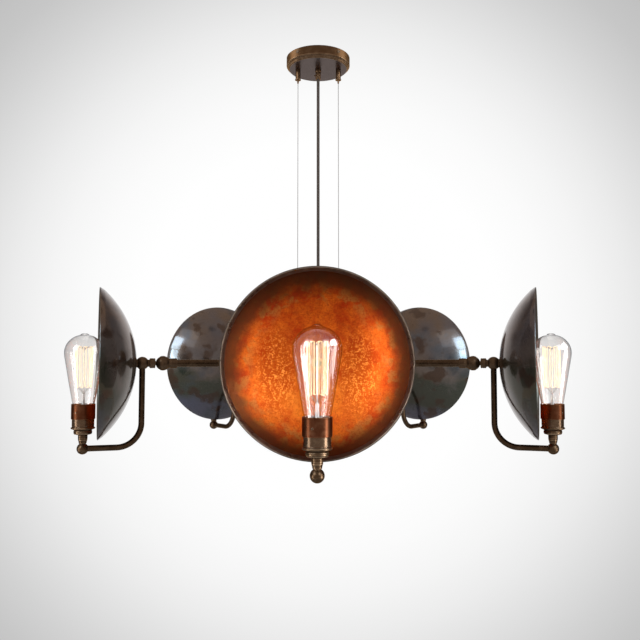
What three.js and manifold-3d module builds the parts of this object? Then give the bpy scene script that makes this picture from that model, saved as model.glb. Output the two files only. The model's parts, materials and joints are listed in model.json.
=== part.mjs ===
// A five-arm chandelier: spun metal dish reflectors on jointed arms around a drum hub, hung from a
// ceiling rose by two steel wires and one straight power cord. Each dish carries a bent bracket with
// a lampholder and a bare squirrel-cage bulb in front of it.
//
// Millimetres, +Z up. The origin is the centre of the ceiling plate's top face, so the whole lamp is
// below zero. Arm 1 points along -Y, and the others follow anticlockwise seen from above.

import * as THREE from 'three';
import { mergeVertices } from 'three/addons/utils/BufferGeometryUtils.js';
import Module from 'manifold-3d';

const wasm = await Module();
wasm.setup();

// General fits, and how far a hole or slot is cut past the face that it opens through
const gap = 0.3;
const runningGap = 0.3;
const cutSpare = 2;

// Layout
const armCount = 5;
const firstArmAngle = -90;
const armDrop = 575;

// Ceiling plate and rose
const roseRadius = 59.5;
const roseHeight = 22;
const roseWall = 1.6;
const roseFloor = 2;
const roseMouldingHeight = 6;
const roseMouldingInset = 5.5;
const roseMouldingSteps = 4;
const roseTopGap = 0.4;
const plateThickness = 1.6;
const plateFlangeDepth = 12;
const plateFit = 0.5;
const mainsHoleRadius = 6;
const mainsHoleOffset = 22;
const fixingSlotPitch = 60;
const fixingSlotWidth = 5;
const fixingSlotLength = 14;
const roseScrewRadius = 1.8;
const roseScrewHeadRadius = 2.7;
const roseScrewHeadHeight = 1.8;
const roseScrewDomeRadius = 2.2;
const roseScrewDomeRise = 1.1;
const roseScrewGrip = 4.8;
const roseScrewDepth = 7;
const roseScrewSpread = 39;

// Suspension
const wireSpacing = 76;
const wireRadius = 0.6;
const gripperRadius = 4.7;
const gripperLength = 18;
const gripperFlangeRadius = 5.6;
const gripperFlangeThickness = 2;
const gripperNoseRadius = 2;
const gripperNoseTipRadius = 1.4;
const gripperNoseLength = 6;
const gripperStudRadius = 3;
const gripperStudLength = 8;
const wireEndInset = 14;
const wireSteps = 2;

// Power cord and its two glands
const cordRadius = 2.75;
const cordTopDepth = 12;
const cordTailInHub = 6;
const cordSteps = 4;
const cordGripRadius = 4.9;
const cordGripLength = 18;
const cordGripCollarRadius = 5.6;
const cordGripCollarLength = 4;
const cordGripChamfer = 0.9;
const cordGripStudRadius = 4;
const cordGripStudLength = 6;
const cordGripScrewRadius = 1.2;
const cordGripScrewReach = 2.6;
const cordGripScrewRise = 7.2;
const glandRadius = 8;
const glandHeight = 8;
const glandShoulderRise = 1.5;
const glandNoseRadius = 4.8;
const glandNoseHeight = 7;
const glandStudRadius = 5;
const glandStudLength = 6;

// Hub
const hubRadius = 52;
const hubWall = 2.5;
const hubHalfHeight = 15;
const hubFloorDrop = 3;
const hubFloorThickness = 2.5;
const hubFloorRadius = 44;
const hubCornerRise = 4;
const hubCoverOverhang = 1;
const hubCoverThickness = 4.5;
const hubCoverStep = 1.5;
const hubCoverStepInset = 3;
const hubSpigotDepth = 5;
const hubSpigotWall = 2.5;
const terminalBlockRadius = 22;
const terminalBlockHeight = 12;
const terminalSlotWidth = 5;
const terminalSlotDepth = 6;
const terminalSlotInnerRadius = 9;
const finialBallRadius = 9.5;
const finialStudRadius = 4;
const finialFlangeRadius = 14;
const finialFlangeThickness = 2;
const finialNeckRadius = 6;
const finialNeckLength = 3;

// Arm tube
const armCollarRadius = 9.5;
const armCollarLength = 8;
const armRadius = 6.35;
const armBore = 4.85;
const armInnerEnd = 45;
const armReach = 266;

// Ball swivel at the end of the arm
const armEndToBall = 14.5;
const swivelCentre = armReach + armEndToBall;
const swivelBallRadius = 12.5;
const swivelCollarRadius = 8.5;
const swivelCollarOverlap = 9;
const swivelWireHoleRadius = 3;
const swivelSlotWidth = 8;
const swivelCavityRadius = 9;
const swivelTiltLimit = 40;
const swivelTiltSpare = 2;
const swivelPinRadius = 2;
const swivelPinRecess = 0.5;

// Swivel stem: tongue, neck, ring and the three-way junction ball
const stemRadius = 3.7;
const neckRadius = 7;
const neckLength = 3;
const neckBallClearance = 0.6;
const stemRingRadius = 8.5;
const stemRingLength = 6;
const waistRadius = 6;
const ballToJunction = 34.5;
const junctionCentre = swivelCentre + ballToJunction;
const junctionBallRadius = 11;
const junctionSeatRadius = 7;
const studRadius = 5;
const studPastNut = 2;

// Dish reflector
const junctionToDish = 10;
const dishPole = junctionCentre + junctionToDish;
const dishSheet = 1.2;
const dishSeatRadius = 12;
const dishSphereRadius = 167;
const dishSphereMouth = 123;
const dishRimRadius = 128;
const dishDepth = 61;
const dishHemThickness = 2.4;
const nutSides = 6;
const nutAcrossCorners = 19;
const nutHeight = 6;

// Bracket from the junction ball to the lampholder
const rimToLamp = 23;
const lampReach = dishPole + dishDepth + rimToLamp;
const lampDrop = 141;
const bracketRadius = 5;
const bracketBore = 3.5;
const bracketBendRadius = 40;
const bracketSocketDepth = 7;
const lowerBallRadius = 9.5;
const nippleRadius = 4.9;
const nippleLength = 8;
const nippleEndGap = 1;

// Lampholder, heights measured up from its lower face
const holderSeatRise = 8.5;
const holderNeckRadius = 6.3;
const holderNeckHeight = 5;
const holderStemRadius = 8;
const holderStemBottom = 6;
const holderStemTop = 14;
const holderCupRadius = 13.6;
const holderCupBottom = 17;
const holderCupTop = 22.5;
const holderLipRadius = 18.7;
const holderLipBottom = 25;
const holderLipTop = 27.2;
const holderBandRadius = 17.8;
const holderBandTop = 40.2;
const holderSkirtRadius = 19.3;
const holderSkirtWall = 1.2;
const holderHeight = 65.3;
const holderSkirtDepth = 12;

// Bulb, heights measured from the lampholder's mouth
const bulbRadius = 32;
const bulbWidestRise = 85.2;
const bulbDomeHeight = 30;
const bulbPipRadius = 7;
const bulbPipRise = 1.8;
const bulbShoulderRadius = 54;
const bulbTaperAngle = 10.1;
const bulbGlass = 1;
const bulbGlassDepth = 10;
const bulbThroatRadius = 12.8;
const capRadius = 13.2;
const capLength = 17;
const capTaperLength = 3;
const capContactRadius = 4.5;
const capContactLength = 3;
const mountBaseRadius = 6;
const mountHeight = 28;
const mountTipRadius = 2.4;
const mountRodRadius = 1;
const mountRodTopRise = 91.2;

// Facets round each kind of piece, and steps along an arc or a bend
const dishSides = 20;
const wide = 18;
const small = 10;
const slim = 8;
const tiny = 6;
const ballSteps = 4;
const bendSteps = 4;
const dishSteps = 4;
const domeSteps = 4;

// Materials

function metal(color, roughness, metalness) {
  return new THREE.MeshStandardMaterial({ color, roughness, metalness });
}

const materials = {
  agedBrass: metal(0x6b4a2c, 0.38, 0.9),
  darkBrass: metal(0x4a3626, 0.36, 0.9),
  dishMetal: metal(0x5a3a22, 0.25, 0.9),
  copper: metal(0x6a3420, 0.4, 0.85),
  steelWire: metal(0xb8b4ac, 0.4, 0.8),
  platedSteel: metal(0x9a958c, 0.45, 0.8),
  cordFabric: metal(0x3b2a20, 0.9, 0),
  porcelain: metal(0xd9d4c8, 0.5, 0),
  capMetal: metal(0xb59a62, 0.35, 0.9),
  clearGlass: new THREE.MeshStandardMaterial({
    color: 0xf4f6f6, roughness: 0.05, metalness: 0, transparent: true, opacity: 0.3,
  }),
};

// Geometry helpers

const degrees = THREE.MathUtils.degToRad;

// A profile of [radius, height] pairs turned about +Z.
function turned(profile, segments) {
  const points = profile.map(([radius, height]) => new THREE.Vector2(radius, height));
  const geometry = new THREE.LatheGeometry(points, segments);
  return geometry.rotateX(Math.PI / 2);
}

// A profile of [distance along X, radius] pairs turned about +X.
function turnedAlongX(profile, segments) {
  const points = profile.map(([along, radius]) => new THREE.Vector2(radius, along));
  const geometry = new THREE.LatheGeometry(points, segments);
  return geometry.rotateZ(-Math.PI / 2);
}

// A closed loop for a turned ring, which comes back to its own first point.
function loop(profile) {
  return [...profile, profile[0]];
}

// Points on an arc in a profile plane, angles in degrees.
function arc(centreA, centreB, radius, fromAngle, toAngle, steps) {
  return Array.from({ length: steps + 1 }, (_, i) => {
    const angle = degrees(fromAngle + (toAngle - fromAngle) * i / steps);
    return [centreA + radius * Math.cos(angle), centreB + radius * Math.sin(angle)];
  });
}

function rodAlongZ(radius, from, to, segments) {
  const geometry = new THREE.CylinderGeometry(radius, radius, to - from, segments);
  return geometry.rotateX(Math.PI / 2).translate(0, 0, (from + to) / 2);
}

function rodAlongX(radius, from, to, segments) {
  const geometry = new THREE.CylinderGeometry(radius, radius, to - from, segments);
  return geometry.rotateZ(Math.PI / 2).translate((from + to) / 2, 0, 0);
}

function rodAlongY(radius, from, to, segments) {
  const geometry = new THREE.CylinderGeometry(radius, radius, to - from, segments);
  return geometry.translate(0, (from + to) / 2, 0);
}

// A clearance hole's radius at the corners, so that its flats stand clear of the rod inside it.
function holeRadius(rodRadius, segments) {
  return (rodRadius + gap) / Math.cos(Math.PI / segments);
}

function aroundZ(geometry, angle) {
  return geometry.rotateZ(degrees(angle));
}

function solid(geometry) {
  const bare = geometry.clone();
  bare.deleteAttribute('normal');
  bare.deleteAttribute('uv');
  const merged = mergeVertices(bare, 1e-4);
  const source = new wasm.Mesh({
    numProp: 3,
    vertProperties: new Float32Array(merged.attributes.position.array),
    triVerts: new Uint32Array(merged.index.array),
  });
  return new wasm.Manifold(source);
}

function surface(body) {
  const { vertProperties, triVerts } = body.getMesh();
  const geometry = new THREE.BufferGeometry();
  geometry.setAttribute('position', new THREE.BufferAttribute(vertProperties, 3));
  geometry.setIndex(new THREE.BufferAttribute(triVerts, 1));
  geometry.computeVertexNormals();
  return geometry;
}

function joined(...geometries) {
  return surface(geometries.map(solid).reduce((whole, next) => whole.add(next)));
}

function cut(geometry, ...tools) {
  return surface(tools.map(solid).reduce((whole, tool) => whole.subtract(tool), solid(geometry)));
}

function piece(name, geometry, material) {
  const mesh = new THREE.Mesh(geometry, material);
  mesh.name = name;
  return mesh;
}

// Ceiling plate: a pressed steel cup screwed to the ceiling, with the four dome-headed screws that
// hold the rose, a hole for the mains cable and two slots for the ceiling screws.

const plateRadius = roseRadius - roseWall - plateFit;

function roseScrewHole(from, to, angle) {
  const rod = rodAlongX(holeRadius(roseScrewRadius, tiny), from, to, tiny);
  return aroundZ(rod.translate(0, 0, -roseScrewDepth), angle);
}

function roseScrew(angle) {
  const seat = roseRadius + gap;
  const profile = [
    [plateRadius - roseScrewGrip, 0],
    [plateRadius - roseScrewGrip, roseScrewRadius],
    [seat, roseScrewRadius],
    [seat, roseScrewHeadRadius],
    [seat + roseScrewDomeRise, roseScrewDomeRadius],
    [seat + roseScrewHeadHeight, 0],
  ];
  const screw = turnedAlongX(profile, tiny).translate(0, 0, -roseScrewDepth);
  return aroundZ(screw, angle);
}

function screwAngles() {
  return [-90, 90].flatMap((facing) => [facing - roseScrewSpread, facing + roseScrewSpread]);
}

function ceilingPlate() {
  const cup = turned([
    [0, -plateThickness],
    [plateRadius - plateThickness, -plateThickness],
    [plateRadius - plateThickness, -plateFlangeDepth],
    [plateRadius, -plateFlangeDepth],
    [plateRadius, 0],
    [0, 0],
  ], wide);
  const through = plateThickness + cutSpare;
  const mainsHole = rodAlongZ(mainsHoleRadius, -through, cutSpare, small).translate(0, mainsHoleOffset, 0);
  const slots = [-1, 1].map((side) => {
    const slot = new THREE.BoxGeometry(fixingSlotLength, fixingSlotWidth, 2 * through);
    return slot.translate(side * fixingSlotPitch / 2, 0, 0);
  });
  return joined(cut(cup, mainsHole, ...slots), ...screwAngles().map(roseScrew));
}

// Rose: the spun cover that hides the ceiling plate, with two stepped mouldings above its floor.

function roseCover() {
  const mouldingTop = -roseHeight + roseMouldingHeight;
  const step = roseMouldingHeight / roseMouldingSteps;
  const inset = roseMouldingInset / roseMouldingSteps;
  const bore = holeRadius(cordGripStudRadius, wide);
  const innerRadius = roseRadius - roseWall;
  const floorTop = -roseHeight + roseFloor;
  const shell = turned(loop([
    [bore, floorTop],
    [bore, -roseHeight],
    [roseRadius - roseMouldingInset, -roseHeight],
    [roseRadius - 3 * inset, mouldingTop - 3 * step],
    [roseRadius - 2 * inset, mouldingTop - 3 * step],
    [roseRadius - 2 * inset, mouldingTop - 2 * step],
    [roseRadius - inset, mouldingTop - 2 * step],
    [roseRadius - inset, mouldingTop - step],
    [roseRadius, mouldingTop],
    [roseRadius, -roseTopGap],
    [innerRadius, -roseTopGap],
    [innerRadius, mouldingTop - step],
    [innerRadius - roseMouldingInset / 2, floorTop],
  ]), wide);
  const screwHoles = screwAngles().map((angle) => (
    roseScrewHole(innerRadius - cutSpare, roseRadius + cutSpare, angle)
  ));
  const wireHoles = [-1, 1].map((side) => (
    rodAlongZ(holeRadius(gripperStudRadius, tiny), -roseHeight - cutSpare, floorTop + cutSpare, tiny)
      .translate(side * wireSpacing / 2, 0, 0)
  ));
  return cut(shell, ...screwHoles, ...wireHoles);
}

// Cord grip under the rose: a threaded stub through the floor, a collar and a ribbed barrel, with
// the small screw that pinches the cord on its left.

const cordBore = cordRadius + gap;
const cordGripTop = -roseHeight - gap;
const cordGripMouth = cordGripTop - cordGripLength;

function cordGrip() {
  const collarBottom = cordGripTop - cordGripCollarLength;
  const barrel = turned(loop([
    [cordBore, cordGripMouth],
    [cordGripRadius - cordGripChamfer, cordGripMouth],
    [cordGripRadius, cordGripMouth + cordGripChamfer],
    [cordGripRadius, collarBottom],
    [cordGripCollarRadius, collarBottom],
    [cordGripCollarRadius, cordGripTop],
    [cordGripStudRadius, cordGripTop],
    [cordGripStudRadius, cordGripTop + cordGripStudLength],
    [cordBore, cordGripTop + cordGripStudLength],
  ]), small);
  const screwReach = cordGripRadius + cordGripScrewReach;
  const screw = rodAlongX(cordGripScrewRadius, -screwReach, -cordBore - gap, tiny);
  return joined(barrel, screw.translate(0, 0, cordGripMouth + cordGripScrewRise));
}

// Wire gripper: the same fitting under the rose and, upside down, on the hub cover. Its own frame
// has the mounting face at zero, the stud above it and the wire leaving downwards.

const gripperFlangeTop = -gripperLength;
const gripperNoseTop = gripperFlangeTop - gripperFlangeThickness;
const gripperMouth = gripperNoseTop - gripperNoseLength;

function wireGripper() {
  const bore = wireRadius + gap;
  return turned(loop([
    [bore, gripperMouth],
    [gripperNoseTipRadius, gripperMouth],
    [gripperNoseRadius, gripperNoseTop],
    [gripperFlangeRadius, gripperNoseTop],
    [gripperFlangeRadius, gripperFlangeTop],
    [gripperRadius, gripperFlangeTop],
    [gripperRadius, 0],
    [gripperStudRadius, 0],
    [gripperStudRadius, gripperStudLength],
    [bore, gripperStudLength],
  ]), slim);
}

// Hub: a spun drum with a hole for each arm, a stepped cover, a finial that clamps the terminal
// block to the floor, and the gland where the cord enters. Heights are from the arm plane.

const hubInnerRadius = hubRadius - hubWall;
const hubBottom = -hubHalfHeight - hubFloorDrop;
const hubFloorTop = hubBottom + hubFloorThickness;
const coverBottom = hubHalfHeight + gap;
const coverTop = coverBottom + hubCoverThickness;
const armAngles = Array.from({ length: armCount }, (_, i) => firstArmAngle + i * 360 / armCount);

function hubBody() {
  const bore = holeRadius(finialStudRadius, wide);
  const drum = turned(loop([
    [bore, hubBottom],
    [hubFloorRadius, hubBottom],
    [hubRadius, hubBottom + hubCornerRise],
    [hubRadius, hubHalfHeight],
    [hubInnerRadius, hubHalfHeight],
    [hubInnerRadius, hubFloorTop + hubCornerRise],
    [hubFloorRadius - hubWall, hubFloorTop],
    [bore, hubFloorTop],
  ]), wide);
  const hole = holeRadius(armRadius, slim);
  const holes = armAngles.map((angle) => (
    aroundZ(rodAlongX(hole, hubInnerRadius - cutSpare, hubRadius + cutSpare, slim), angle)
  ));
  return cut(drum, ...holes);
}

function hubCover() {
  const bore = holeRadius(glandStudRadius, wide);
  const spigotRadius = hubInnerRadius - gap;
  const rimRadius = hubRadius + hubCoverOverhang;
  const stepHeight = coverTop - hubCoverStep;
  const spigotBottom = coverBottom - hubSpigotDepth;
  const plate = turned(loop([
    [bore, coverBottom],
    [spigotRadius - hubSpigotWall, coverBottom],
    [spigotRadius - hubSpigotWall, spigotBottom],
    [spigotRadius, spigotBottom],
    [spigotRadius, coverBottom],
    [rimRadius, coverBottom],
    [rimRadius, stepHeight],
    [rimRadius - hubCoverStepInset, stepHeight],
    [rimRadius - hubCoverStepInset, coverTop],
    [bore, coverTop],
  ]), wide);
  const wireHoles = [-1, 1].map((side) => (
    rodAlongZ(holeRadius(gripperStudRadius, tiny), coverBottom - cutSpare, coverTop + cutSpare, tiny)
      .translate(side * wireSpacing / 2, 0, 0)
  ));
  return cut(plate, ...wireHoles);
}

function hubGland() {
  const seat = coverTop + gap;
  const shoulder = seat + glandHeight;
  return turned(loop([
    [cordBore, seat - glandStudLength],
    [glandStudRadius, seat - glandStudLength],
    [glandStudRadius, seat],
    [glandRadius, seat],
    [glandRadius, shoulder],
    [glandNoseRadius, shoulder + glandShoulderRise],
    [glandNoseRadius, shoulder + glandNoseHeight],
    [cordBore, shoulder + glandNoseHeight],
  ]), small);
}

const terminalBottom = hubFloorTop + gap;
const terminalTop = terminalBottom + terminalBlockHeight;

function terminalBlock() {
  const bore = holeRadius(finialStudRadius, small);
  const disc = turned(loop([
    [bore, terminalBottom],
    [terminalBlockRadius, terminalBottom],
    [terminalBlockRadius, terminalTop],
    [bore, terminalTop],
  ]), small);
  const slotLength = terminalBlockRadius - terminalSlotInnerRadius + cutSpare;
  const slots = armAngles.map((angle) => {
    const slot = new THREE.BoxGeometry(slotLength, terminalSlotWidth, 2 * terminalSlotDepth);
    slot.translate(terminalSlotInnerRadius + slotLength / 2, 0, terminalTop);
    return aroundZ(slot, angle);
  });
  return cut(disc, ...slots);
}

function hubFinial() {
  const flangeTop = hubBottom - gap;
  const flangeBottom = flangeTop - finialFlangeThickness;
  const neckBottom = flangeBottom - finialNeckLength;
  const neckAngle = THREE.MathUtils.radToDeg(Math.acos(finialNeckRadius / finialBallRadius));
  const ballCentre = neckBottom - finialBallRadius * Math.sin(degrees(neckAngle));
  return turned([
    ...arc(0, ballCentre, finialBallRadius, -90, neckAngle, ballSteps),
    [finialNeckRadius, flangeBottom],
    [finialFlangeRadius, flangeBottom],
    [finialFlangeRadius, flangeTop],
    [finialStudRadius, flangeTop],
    [finialStudRadius, terminalTop + gap],
    [0, terminalTop + gap],
  ], small);
}

// Suspension wires and power cord: straight runs between the rose and the hub.

const upperWireEnd = -roseHeight - gap - wireEndInset;
const lowerWireEnd = -armDrop + coverTop + gap + wireEndInset;

function suspensionWire() {
  const run = new THREE.LineCurve3(
    new THREE.Vector3(0, 0, upperWireEnd),
    new THREE.Vector3(0, 0, lowerWireEnd),
  );
  return straightCord(run, wireRadius, wireSteps);
}

function powerCord() {
  const run = new THREE.LineCurve3(
    new THREE.Vector3(0, 0, -cordTopDepth),
    new THREE.Vector3(0, 0, -armDrop + coverBottom - cordTailInHub),
  );
  return straightCord(run, cordRadius, cordSteps);
}

function straightCord(run, radius, steps) {
  const section = new THREE.Shape();
  section.absarc(0, 0, radius, 0, 2 * Math.PI, false);
  return new THREE.ExtrudeGeometry(section, { steps, curveSegments: slim / 2, extrudePath: run });
}

// Arm tube, along its own +X, from inside the hub to inside the swivel collar, with a collar that
// butts against the drum.

function armTube() {
  const collarStart = hubRadius + gap;
  return turnedAlongX(loop([
    [armInnerEnd, armBore],
    [armInnerEnd, armRadius],
    [collarStart, armRadius],
    [collarStart, armCollarRadius],
    [collarStart + armCollarLength, armCollarRadius],
    [collarStart + armCollarLength, armRadius],
    [armReach, armRadius],
    [armReach, armBore],
  ]), slim);
}

// Swivel housing: a collar that turns on the end of the arm tube, and a ball slotted for the tongue
// of the stem, with two holes for the tongue's cross pin. Built round the ball's centre.

const stemHalfAngle = THREE.MathUtils.radToDeg(Math.asin(stemRadius / swivelCavityRadius));
const slotHalfAngle = swivelTiltLimit + stemHalfAngle + swivelTiltSpare;

function swivelSlot() {
  const mouthRadius = swivelBallRadius + cutSpare;
  const outline = new THREE.Shape();
  outline.absarc(0, 0, mouthRadius, degrees(-slotHalfAngle), degrees(slotHalfAngle), false);
  outline.absarc(0, 0, swivelCavityRadius, degrees(slotHalfAngle), degrees(360 - slotHalfAngle), false);
  outline.closePath();
  const slot = new THREE.ExtrudeGeometry(outline, {
    depth: swivelSlotWidth, bevelEnabled: false, curveSegments: ballSteps,
  });
  return slot.translate(0, 0, -swivelSlotWidth / 2).rotateX(Math.PI / 2);
}

function swivelHousing() {
  const socketFloor = gap - armEndToBall;
  const collarEnd = -armEndToBall - swivelCollarOverlap;
  const collarBore = holeRadius(armRadius, small);
  const collarAngle = THREE.MathUtils.radToDeg(Math.asin(swivelCollarRadius / swivelBallRadius));
  const body = turnedAlongX([
    [socketFloor, 0],
    [socketFloor, collarBore],
    [collarEnd, collarBore],
    [collarEnd, swivelCollarRadius],
    ...arc(0, 0, swivelBallRadius, 180 - collarAngle, 0, ballSteps),
  ], small);
  const wireHole = rodAlongX(swivelWireHoleRadius, socketFloor - cutSpare, 0, tiny);
  const pinReach = swivelBallRadius + cutSpare;
  const pinHole = rodAlongY(holeRadius(swivelPinRadius, tiny), -pinReach, pinReach, tiny);
  return cut(body, swivelSlot(), wireHole, pinHole).translate(swivelCentre, 0, 0);
}

// Swivel stem: a round tongue on a cross pin inside the ball, then the neck, the ring and the
// junction ball, which has a socket for the bracket below and a threaded stud for the dish.

const nutSeat = dishPole + dishSheet + gap;
const nutEnd = nutSeat + nutHeight;
const tongueHalfWidth = swivelSlotWidth / 2 - runningGap;

function swivelStem() {
  const neckStart = swivelBallRadius + neckBallClearance;
  const ringStart = neckStart + neckLength;
  const ringEnd = ringStart + stemRingLength;
  const waistAngle = THREE.MathUtils.radToDeg(Math.asin(waistRadius / junctionBallRadius));
  const seatAngle = THREE.MathUtils.radToDeg(Math.asin(junctionSeatRadius / junctionBallRadius));
  const seatFace = dishPole - gap - swivelCentre;
  const studEnd = nutEnd + studPastNut - swivelCentre;
  const shank = turnedAlongX([
    [0, 0],
    [0, stemRadius],
    [neckStart, stemRadius],
    [neckStart, neckRadius],
    [ringStart, neckRadius],
    [ringStart, stemRingRadius],
    [ringEnd, stemRingRadius],
    [ringEnd, waistRadius],
    ...arc(ballToJunction, 0, junctionBallRadius, 180 - waistAngle, seatAngle, ballSteps - 1),
    [seatFace, junctionSeatRadius],
    [seatFace, studRadius],
    [studEnd, studRadius],
    [studEnd, 0],
  ], slim);
  const tongue = rodAlongY(swivelCavityRadius - runningGap, -tongueHalfWidth, tongueHalfWidth, slim);
  const pinReach = swivelBallRadius - swivelPinRecess;
  const pin = rodAlongY(swivelPinRadius, -pinReach, pinReach, tiny);
  const socketRoof = bracketSocketDepth - junctionBallRadius;
  const socketMouth = -junctionBallRadius - cutSpare;
  const socket = rodAlongZ(holeRadius(bracketRadius, slim), socketMouth, socketRoof, slim);
  const whole = joined(shank, tongue, pin);
  return cut(whole, socket.translate(ballToJunction, 0, 0)).translate(swivelCentre, 0, 0);
}

// Dish: a spun spherical bowl with a flat seat at its pole, a hole there for the stud, and a
// steeper rim band that is folded back inside into a hem. It opens outwards, away from the hub.

function dish() {
  const sphereCentre = dishPole + Math.sqrt(dishSphereRadius ** 2 - dishSeatRadius ** 2);
  const innerRadius = dishSphereRadius - dishSheet;
  const innerFlat = dishPole + dishSheet;
  const innerSeatRadius = Math.sqrt(innerRadius ** 2 - (sphereCentre - innerFlat) ** 2);
  const bore = holeRadius(studRadius, dishSides);
  const angleAt = (offset, radius) => 180 - THREE.MathUtils.radToDeg(Math.asin(offset / radius));
  const mouth = [
    sphereCentre - Math.sqrt(dishSphereRadius ** 2 - dishSphereMouth ** 2),
    dishSphereMouth,
  ];
  const rim = [dishPole + dishDepth, dishRimRadius];
  const bandLength = Math.hypot(rim[0] - mouth[0], rim[1] - mouth[1]);
  const inward = [(rim[1] - mouth[1]) / bandLength, -(rim[0] - mouth[0]) / bandLength];
  const offset = (point, depth) => [point[0] + inward[0] * depth, point[1] + inward[1] * depth];
  const sheetEdge = offset(mouth, dishSheet);
  const outerFrom = angleAt(dishSeatRadius, dishSphereRadius);
  const outerTo = angleAt(dishSphereMouth, dishSphereRadius);
  const innerFrom = angleAt(sheetEdge[1], innerRadius);
  const innerTo = angleAt(innerSeatRadius, innerRadius);
  return turnedAlongX(loop([
    [dishPole, bore],
    ...arc(sphereCentre, 0, dishSphereRadius, outerFrom, outerTo, dishSteps),
    rim,
    offset(rim, dishHemThickness),
    offset(mouth, dishHemThickness),
    ...arc(sphereCentre, 0, innerRadius, innerFrom, innerTo, dishSteps),
    [innerFlat, bore],
  ]), dishSides);
}

// Hexagon nut that clamps the dish to the junction ball.

function dishNut() {
  const bore = holeRadius(studRadius, nutSides);
  return turnedAlongX(loop([
    [nutSeat, bore],
    [nutSeat, nutAcrossCorners / 2],
    [nutEnd, nutAcrossCorners / 2],
    [nutEnd, bore],
  ]), nutSides);
}

// Bracket: one bent tube from the junction ball down and out to the lower ball, which carries the
// threaded nipple for the lampholder.

class BracketCurve extends THREE.Curve {
  constructor(top) {
    super();
    this.top = top;
  }

  // The steps are spent on the bend: one step for each straight leg, the rest round the corner.
  getUtoTmapping(u) {
    return u;
  }

  getPoint(t, target = new THREE.Vector3()) {
    const step = t * (bendSteps + 2);
    const bendTop = bracketBendRadius - lampDrop;
    const bendEnd = junctionCentre + bracketBendRadius;
    if (step <= 1) {
      return target.set(junctionCentre, 0, this.top + (bendTop - this.top) * step);
    }
    if (step >= bendSteps + 1) {
      const along = step - bendSteps - 1;
      return target.set(bendEnd + (lampReach - bendEnd) * along, 0, -lampDrop);
    }
    const angle = (step - 1) / bendSteps * Math.PI / 2;
    return target.set(
      bendEnd - bracketBendRadius * Math.cos(angle),
      0,
      bendTop - bracketBendRadius * Math.sin(angle),
    );
  }
}

function lampBracket() {
  const top = bracketSocketDepth - junctionBallRadius - gap;
  const section = new THREE.Shape();
  section.absarc(0, 0, bracketRadius, 0, 2 * Math.PI, false);
  const bore = new THREE.Path();
  bore.absarc(0, 0, bracketBore, 0, 2 * Math.PI, true);
  section.holes.push(bore);
  const tube = new THREE.ExtrudeGeometry(section, {
    steps: bendSteps + 2, curveSegments: slim / 2, extrudePath: new BracketCurve(top),
  });
  const ball = turned(arc(0, 0, lowerBallRadius, -90, 90, ballSteps), slim);
  const nippleTop = holderSeatRise + nippleLength;
  const nipple = rodAlongZ(nippleRadius, 0, nippleTop, slim);
  const end = joined(ball, nipple).translate(lampReach, 0, -lampDrop);
  return joined(tube, end);
}

// Lampholder: neck, cup, flanged lip, plain band and skirt, with the blind bore for the nipple below
// and the screw socket for the bulb above.

const holderBottom = -lampDrop + holderSeatRise;
const holderMouth = holderBottom + holderHeight;
const capTop = holderMouth - bulbGlassDepth - gap;
const capEnd = capTop - capLength - capTaperLength - capContactLength;

function lampholder() {
  const at = (radius, rise) => [radius, holderBottom + rise];
  const nippleBore = nippleRadius + gap;
  const socketRadius = capRadius + runningGap;
  const skirtInner = holderSkirtRadius - holderSkirtWall;
  const skirtFloor = holderMouth - holderSkirtDepth;
  const profile = [
    at(0, nippleLength + nippleEndGap),
    at(nippleBore, nippleLength + nippleEndGap),
    at(nippleBore, 0),
    at(holderNeckRadius, 0),
    at(holderNeckRadius, holderNeckHeight),
    at(holderStemRadius, holderStemBottom),
    at(holderStemRadius, holderStemTop),
    at(holderCupRadius, holderCupBottom),
    at(holderCupRadius, holderCupTop),
    at(holderLipRadius, holderLipBottom),
    at(holderLipRadius, holderLipTop),
    at(holderBandRadius, holderLipTop),
    at(holderBandRadius, holderBandTop),
    at(holderSkirtRadius, holderBandTop),
    at(holderSkirtRadius, holderHeight),
    at(skirtInner, holderHeight),
    [skirtInner, skirtFloor],
    [socketRadius, skirtFloor],
    [socketRadius, capEnd - gap],
    [0, capEnd - gap],
  ];
  return turned(profile, small).translate(lampReach, 0, 0);
}

// Bulb glass: a dome with a small pip, a rounded shoulder and a long straight taper down into the
// skirt, as a thin shell that is open at its throat.

function bulbOutline(thickness, steps) {
  const widest = holderMouth + bulbWidestRise;
  const radius = bulbRadius - thickness;
  const domeHeight = bulbDomeHeight - thickness;
  const shoulder = bulbShoulderRadius - thickness;
  const shoulderCentre = bulbRadius - bulbShoulderRadius;
  const taperEnd = shoulderCentre + shoulder * Math.cos(degrees(bulbTaperAngle));
  const taperTop = widest - shoulder * Math.sin(degrees(bulbTaperAngle));
  const mouthRadius = taperEnd - (taperTop - holderMouth) * Math.tan(degrees(bulbTaperAngle));
  const pipAngle = THREE.MathUtils.radToDeg(Math.acos((bulbPipRadius - thickness) / radius));
  const dome = arc(0, 0, 1, pipAngle, 0, steps).map(([across, up]) => (
    [radius * across, widest + domeHeight * up]
  ));
  return [
    [0, widest + domeHeight + bulbPipRise],
    ...dome,
    [taperEnd, taperTop],
    [mouthRadius, holderMouth],
    [bulbThroatRadius - thickness, holderMouth - bulbGlassDepth],
  ];
}

function bulbGlassShell() {
  const outer = bulbOutline(0, domeSteps);
  const inner = bulbOutline(bulbGlass, domeSteps - 2).reverse();
  return turned([...outer, ...inner].reverse(), small).translate(lampReach, 0, 0);
}

// Bulb cap with the glass mount and its centre rod, which carry the filament.

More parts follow.
